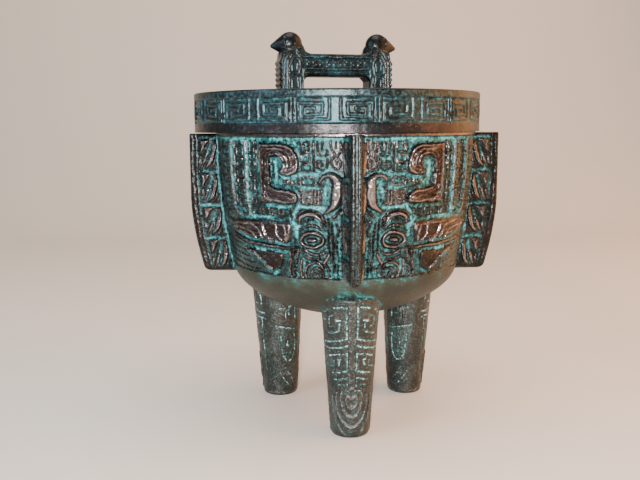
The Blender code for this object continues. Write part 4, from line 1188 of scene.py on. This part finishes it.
lid = {
    "centre": (-5.4, 0.0), "turn": 26.5, "radius": 92.0, "low": 185.6, "high": 209.7,
    "field": (191.0, 205.2), "sunk": 0.8, "rough": 0.06,
    "step": 0.52, "columns": 88, "pairs": 12, "lip": 1.1,
    "wall": 4.0, "crown": 4.0, "ledge": 3.5, "ringOut": 72.3, "ringWall": 3.0, "ringDeep": 6.0,
    "bars": [  # width, points
        (1.7, [(1.9, 204.6), (1.9, 193.0), (12.7, 193.0), (12.7, 201.8), (4.4, 201.8), (4.4, 195.6),
               (10.3, 195.6), (10.3, 199.2), (6.9, 199.2), (6.9, 198.0)]),
        (1.2, [(14.35, 204.6), (14.35, 191.4)]), (0.9, [(4.2, 204.4), (12.9, 204.4)]),
    ],
    "plainStain": 0.05, "plainWear": 0.1,  # on the top and inside
}
lidLook = {
    "dark": "#192022", "warm": "#30262a", "haze": "#284a50", "dull": 0.3, "sheen": 0.7, "pitting": 0.3,
    "spread": 0.04, "speckle": 1.0, "drift": 0.8,
}
lidBronze = makeBronze("waxedBronze", dict(bronzeLook, **lidLook))  # glossier, from being lifted off by hand


def lidField(s):
    perDegree = s["radius"] * pi / 180
    half = 180 / s["pairs"] * perDegree
    field = newField(np.linspace(0, half, s["columns"] // 2 + 1),
                     np.arange(s["low"], s["high"] + 0.01, s["step"]))
    z = field["z"]
    low, high = s["field"]
    inside = smooth(low - 0.3, low + 0.3, z) * smooth(high + 0.3, high - 0.3, z)
    field["height"] -= s["sunk"] * inside
    for width, points in s["bars"]:  # they stand in the sunk field, level with its border
        where, depth = strokeDepth(field, [(x * perDegree, z) for x, z in points], width)
        rise = (smooth(0, 0.5, depth) - 1) * s["sunk"]
        field["height"][where] = np.maximum(field["height"][where], rise)
    for amount, points in ((0.45, [(0, 191.3), (half, 191.3)]), (0.1, [(0, 193), (0, 204)]),
                           (0.4, [(0, 205.0), (half, 205.0)])):
        stainBy(field, strokeDepth(field, points, 1.0), amount)
    roughen(field, 17, s["rough"])
    settle(field)
    ridge = smooth(0.1, 0.5, field["height"] - blurred(field["height"], 4)) * inside
    field["stain"] = (0.6 * field["stain"] + 0.1 + 0.22 * ridge) * inside + 0.2 * smooth(204.6, 206.0, z)
    # key ridges and the plain bands are a little worn, partly a painted highlight
    field["wearAndHighlight"] = field["wearAndHighlight"] * 0.22 + 0.04 * ridge + 0.12 * (1 - inside)
    return field


def makeLid(s):
    field = lidField(s)
    turns = np.linspace(-pi / s["pairs"], pi / s["pairs"], s["columns"] + 1)
    whole = {key: np.concatenate([field[key][:, :0:-1], field[key]], 1)
             for key in ("height", "stain", "wearAndHighlight")}
    lip = s["lip"]
    rows = [(r, s["high"], -1) for r in np.linspace(0, s["radius"] - lip, 12)]
    rows += [(s["radius"] - lip + lip * sin(a), s["high"] - lip + lip * cos(a), -1)
             for a in np.linspace(0, pi / 2, 5)[1:-1]]
    rows += [(s["radius"], z, i) for i, z in reversed(list(enumerate(field["zs"]))) if z <= s["high"] - lip]
    ledge, ceiling = s["low"] + s["ledge"], s["high"] - s["crown"]
    inner, ringIn, ringLow = s["radius"] - s["wall"], s["ringOut"] - s["ringWall"], s["low"] - s["ringDeep"]
    under = [(s["ringOut"], s["low"]), (s["ringOut"], ringLow), (ringIn, ringLow), (ringIn, ledge),
             (inner, ledge), (inner, ceiling), (0, ceiling)]
    rows += [(r, z, -1) for r, z in under]
    radius, level, source = np.array(rows).T
    source = source.astype(int)
    onSide = (source >= 0)[:, None]
    height = np.where(onSide, whole["height"][source], 0)
    values = {key: np.where(onSide, whole[key][source], plain)
              for key, plain in (("stain", s["plainStain"]), ("wearAndHighlight", s["plainWear"]))}
    points = turned(radius[:, None] + height, turns, level)
    mesh = gridMesh("lidDrum", points * mm, False, False, values)
    return standRound("lidDrum", mesh, lidBronze, Count=s["pairs"], Start=radians(s["turn"]),
                      Centre=(s["centre"][0] * mm, s["centre"][1] * mm, 0))


dress(makeLid(lid), "lid")


# Handle: a bridge between two birds. Its own frame: X along the bar, Y through it, Z above the lid, mm.

handle = {
    "place": (-6.95, -0.38, 209.7), "turn": 13.9,
    "span": 21.9, "post": 15.3, "depth": 16.0, "gap": 10.8, "bar": 14.2,
    "teeth": 6, "tooth": 0.9, "round": 1.6, "voxel": 0.41,
    "headRadius": 7.8, "headRise": 13.8, "headWidth": 13.2, "beak": 12.6,
    # in from the post's middle, up from the bar, half length, more half width than the head, half height
    "neck": (0.2, 1.4, 7.4, 0.4, 10.0), "nape": (3.4, 1.6, 6.6, 0, 6.4),
    "curves": [  # width, height, points: lines down the chest and over the wing, a groove's edge, the cheek
        (0.9, 0.55, [(36.3, 0), (36.2, 18), (34.6, 24.5)]),
        (1.0, 0.55, [(34.6, 0), (34.5, 17.5), (32.6, 23.5), (28.6, 28.6), (25.0, 24.8), (21.5, 22.9),
                     (0, 22.9)]),
        (1.0, 0.55, [(32.8, 0), (32.7, 17), (31.4, 22.0), (27.8, 26.0), (24.4, 22.0), (22.6, 20.6)]),
        (0.9, 0.55, [(31.6, 12.0), (31.2, 17.5), (27.6, 23.0), (24.4, 18.6), (25.8, 12.0), (31.6, 12.0)]),
        (0.8, 0.4, [(0, 13.1), (21.6, 13.1)]),
        (1.1, 0.45, [(28.8, 37), (26.8, 33.5), (27.6, 29.8), (31.6, 27.6), (35.8, 28.0)]),
    ],
    "border": [(0, 15.4), (22.4, 15.4), (22.9, 0)],
    "keys": ((24.3, 2.0, 7.2, 8.6, 1.7), (26.2, 14.2, 3.4, 4.6, 1.5)),  # left, low, width, height, pitch
    "sideStain": 0.06, "sideWear": 0.04, "footStain": 0.35,
    "bends": ((1.8, 1.3), (6.0, -1.1), (10.2, 1.2), (14.8, -1.3), (19.0, 1.0)),  # on the bar: place, lean
    "eye": (33.4, 34.2, 1.5),  # middle, radius
    "mouth": [(44, 31.0), (39, 31.2), (36.4, 29.8)],
    "barGrooves": ((21.9, 0.35), (16.3, 0.35), (14.3, 0.3)),  # height up, depth
}
handleLook = {
    "dark": "#10181b", "warm": "#1c191c", "haze": "#193b42", "dull": 0.32, "sheen": 0.7, "pitting": 0.15,
    "rub": 0.5, "patchy": 1.3, "speckle": 0.9, "drift": 1.6,
}
handleBronze = makeBronze("darkBronze", dict(bronzeLook, **handleLook))  # smooth and dark, from fingers


def bridgeOutline(s):
    chest, top = s["span"] + s["post"], s["gap"] + s["bar"]
    half = [(0, s["gap"]), (s["span"] - 2.5, s["gap"]), (s["span"], s["gap"] - 2.5), (s["span"], -0.8),
            (chest, -0.8)]
    step = top * 0.8 / s["teeth"]
    for i in range(s["teeth"]):
        low = 0.2 * step + i * step
        half += [(chest - 0.3, low), (chest + s["tooth"], low + step * 0.55)]
    half += [(chest - 0.8, top - 3.0), (chest - 1.2, top + 1.0), (s["span"] + 1.0, top + 4.6),
             (s["span"] - 1.4, top + 1.2), (s["span"] - 4.4, top), (0, top)]
    return half + [(-x, z) for x, z in half[::-1]]


def makeBridge(s):  # the bar and its posts, a thick plate with rounded edges
    curve = bpy.data.curves.new("bridge", "CURVE")
    curve.dimensions = "2D"
    curve.fill_mode = "BOTH"
    curve.extrude = (s["depth"] / 2 - s["round"]) * mm
    curve.bevel_depth = s["round"] * mm
    curve.bevel_resolution = 3
    curve.offset = -s["round"] * mm
    spline = curve.splines.new("POLY")
    outline = bridgeOutline(s)
    spline.points.add(len(outline) - 1)
    for point, (x, z) in zip(spline.points, outline):
        point.co = (x * mm, z * mm, 0, 1)
    spline.use_cyclic_u = True
    bridge = newObject("bridge", curve)
    solid = finished(bridge)
    bpy.data.objects.remove(bridge)
    solid.transform(Matrix.Rotation(pi / 2, 4, "X"))
    return solid


def addBird(edit, s, side):  # head, neck, nape and beak at one end of the bar
    top, middle = s["gap"] + s["bar"], s["span"] + s["post"] / 2
    up = top + s["headRise"] - s["headRadius"]
    masses = [(middle - 0.3, up, s["headRadius"], s["headWidth"] / 2, s["headRadius"])]
    for inwards, rise, wide, more, tall in (s["neck"], s["nape"]):
        masses.append((middle - inwards, top + rise, wide, s["headWidth"] / 2 + more, tall))
    for x, z, wide, deep, tall in masses:
        size = Matrix.Diagonal((wide * mm, deep * mm, tall * mm, 1))
        place = Matrix.Translation(Vector((side * x, 0, z)) * mm)
        bmesh.ops.create_icosphere(edit, subdivisions=4, radius=1, matrix=place @ size)
    lean = Matrix.Rotation(side * radians(97), 4, "Y")
    place = Matrix.Translation(Vector((side * (middle + s["beak"] * 0.66), 0, up - 1.0)) * mm)
    bmesh.ops.create_cone(edit, cap_ends=True, segments=24, radius1=6.5 * mm, radius2=0.8 * mm,
                          depth=s["beak"] * 0.68 * mm, matrix=place @ lean)


def makeHandleMass(s):  # bridge and birds melted into one skin
    solid = makeBridge(s)
    edit = bmesh.new()
    edit.from_mesh(solid)
    for side in (-1, 1):
        addBird(edit, s, side)
    edit.to_mesh(solid)
    edit.free()
    mass = newObject("birdBridge", solid)
    melt = mass.modifiers.new("melt", "REMESH")
    melt.mode = "VOXEL"
    melt.voxel_size = s["voxel"] * mm
    melt.use_smooth_shade = True
    ease = mass.modifiers.new("ease", "SMOOTH")
    ease.factor = 0.5
    ease.iterations = 4
    mesh = finished(mass)
    mass.modifiers.clear()
    mass.data = mesh
    return mass


def handleField(s):
    field = newField(np.arange(0, 46, 0.2), np.arange(-2, 42, 0.2))

    def line(points, width, height=0.55):
        raiseBy(field, strokeDepth(field, points, width * 1.15), height, 0.5)

    for width, height, points in s["curves"]:
        line(curved(points), width, height)
    line(s["border"], 0.9)
    for key in s["keys"]:
        line(squareKey(*key), 0.75)
    for x, lean in s["bends"]:
        bend = [(x - lean, 17.0), (x + lean, 18.0), (x - lean * 0.8, 19.6), (x + lean, 21.2)]
        line(curved(bend), 0.8, 0.5)
    x, z, radius = s["eye"]
    line(oval(x, z, radius, radius, 12), 0.8, 0.45)
    line([(x, z), (x + 0.1, z)], 1.5, 0.5)
    cutBy(field, strokeDepth(field, curved(s["mouth"]), 0.7), 0.5)
    for z, low in s["barGrooves"]:
        cutBy(field, strokeDepth(field, [(0, z), (20.6, z)], 0.9), low)
    settle(field)
    groove = smooth(0.3, 0.05, field["height"])
    border = smooth(0.15, 0.45, field["height"]) * smooth(22.5, 21, field["x"]) * (
        smooth(21.8, 22.6, field["z"]) + smooth(16.4, 15.6, field["z"]) * smooth(12.6, 13.0, field["z"]))
    field["stain"] = (0.17 + 0.04 * groove) * smooth(35, 25, field["z"]) + 0.2 * border
    # raised lines are worn bright, partly a painted highlight
    field["wearAndHighlight"] = 0.4 * (1 - groove) * smooth(33, 27, field["z"])
    return field


def sampled(field, key, x, z):  # a field's value at places between its cells
    step = field["xs"][1] - field["xs"][0]
    u = np.clip((x - field["xs"][0]) / step, 0, len(field["xs"]) - 1.001)
    v = np.clip((z - field["zs"][0]) / step, 0, len(field["zs"]) - 1.001)
    i, j = u.astype(int), v.astype(int)
    u, v, f = u - i, v - j, field[key]
    low = f[j, i] * (1 - u) + f[j, i + 1] * u
    high = f[j + 1, i] * (1 - u) + f[j + 1, i + 1] * u
    return low * (1 - v) + high * v


def makeHandle(s):
    piece = makeHandleMass(s)
    field = handleField(s)
    mesh = piece.data
    count = len(mesh.vertices)
    points, normals = np.empty(count * 3, np.float32), np.empty(count * 3, np.float32)
    mesh.vertices.foreach_get("co", points)
    mesh.vertices.foreach_get("normal", normals)
    points, normals = points.reshape(-1, 3) / mm, normals.reshape(-1, 3)
    facing = smooth(0.45, 0.85, np.abs(normals[:, 1]))
    x, z = np.abs(points[:, 0]), points[:, 2]
    points[:, 1] += np.sign(normals[:, 1]) * facing * sampled(field, "height", x, z)
    stain = facing * sampled(field, "stain", x, z) + s["sideStain"] * (1 - facing)
    stain += s["footStain"] * smooth(3, 0, z)
    wearAndHighlight = facing * sampled(field, "wearAndHighlight", x, z) + s["sideWear"] * (1 - facing)
    mesh.vertices.foreach_set("co", (points * mm).astype(np.float32).ravel())
    paint(mesh, {"stain": stain, "wearAndHighlight": wearAndHighlight})
    mesh.transform(Matrix.Translation(Vector(s["place"]) * mm) @ Matrix.Rotation(radians(s["turn"]), 4, "Z"))
    mesh.materials.clear()
    mesh.materials.append(handleBronze)
    mesh.shade_smooth()
    print("handle: %d faces" % len(mesh.polygons))
    return [piece]


dress(makeHandle(handle), "lid")


# Floor, backdrop and lights, in metres

studio = {
    "floor": "#d9d4cb", "floorRough": 0.55,
    "wide": 3.0, "deep": 1.6, "high": 2.2, "bend": 0.5, "behind": 0.75,
    "air": "#e8e6e2", "airPower": 0.17,
    "lights": {  # place, what it looks at, size, power in watts, colour
        "frontLight": ((-0.06, -0.78, 0.25), (0, 0, 0.13), 0.08, 13, "#fff6f2"),
        "warmSide": ((0.9, 0.0, 0.40), (0, 0, 0.13), 1.5, 25, "#ffac68"),
        "coolSide": ((-0.9, -0.5, 0.6), (0, 0, 0.13), 0.8, 7, "#dcecff"),
        "overhead": ((0, -0.1, 1.7), (0, 0.1, 0), 1.4, 24, "#fff8ee"),
    },
}


def makeStage(s):
    # one pale sheet that runs back and curves up
    arc = [(s["behind"] + s["bend"] * sin(a), s["bend"] * (1 - cos(a))) for a in np.linspace(0, pi / 2, 24)]
    profile = [(-s["deep"], 0)] + arc + [(s["behind"] + s["bend"], s["high"])]
    points = np.array([[(x * s["wide"], y, z) for x in (-1, 1)] for y, z in profile])
    piece = newObject("paleSweep", gridMesh("paleSweep", points, False, False, {}))
    piece.data.shade_smooth()
    paper = bpy.data.materials.new("palePaper")
    paper.use_nodes = True
    shader = paper.node_tree.nodes["Principled BSDF"]
    shader.inputs["Base Color"].default_value = linear(s["floor"])
    shader.inputs["Roughness"].default_value = s["floorRough"]
    piece.data.materials.append(paper)


def makeLight(name, place, aim, size, power, colour):
    lamp = bpy.data.lights.new(name, "AREA")
    lamp.shape = "DISK"
    lamp.size = size
    lamp.energy = power
    lamp.color = linear(colour)[:3]
    light = bpy.data.objects.new(name, lamp)
    light.location = place
    light.rotation_euler = (Vector(aim) - Vector(place)).to_track_quat("-Z", "Y").to_euler()
    bpy.context.scene.collection.objects.link(light)


def makeAir(s):
    world = bpy.data.worlds.new("studioAir")
    world.use_nodes = True
    sky = world.node_tree.nodes["Background"]
    sky.inputs["Color"].default_value = linear(s["air"])
    sky.inputs["Strength"].default_value = s["airPower"]
    bpy.context.scene.world = world


makeStage(studio)
makeAir(studio)
for name, light in studio["lights"].items():
    makeLight(name, *light)
print("stage and lights are up")
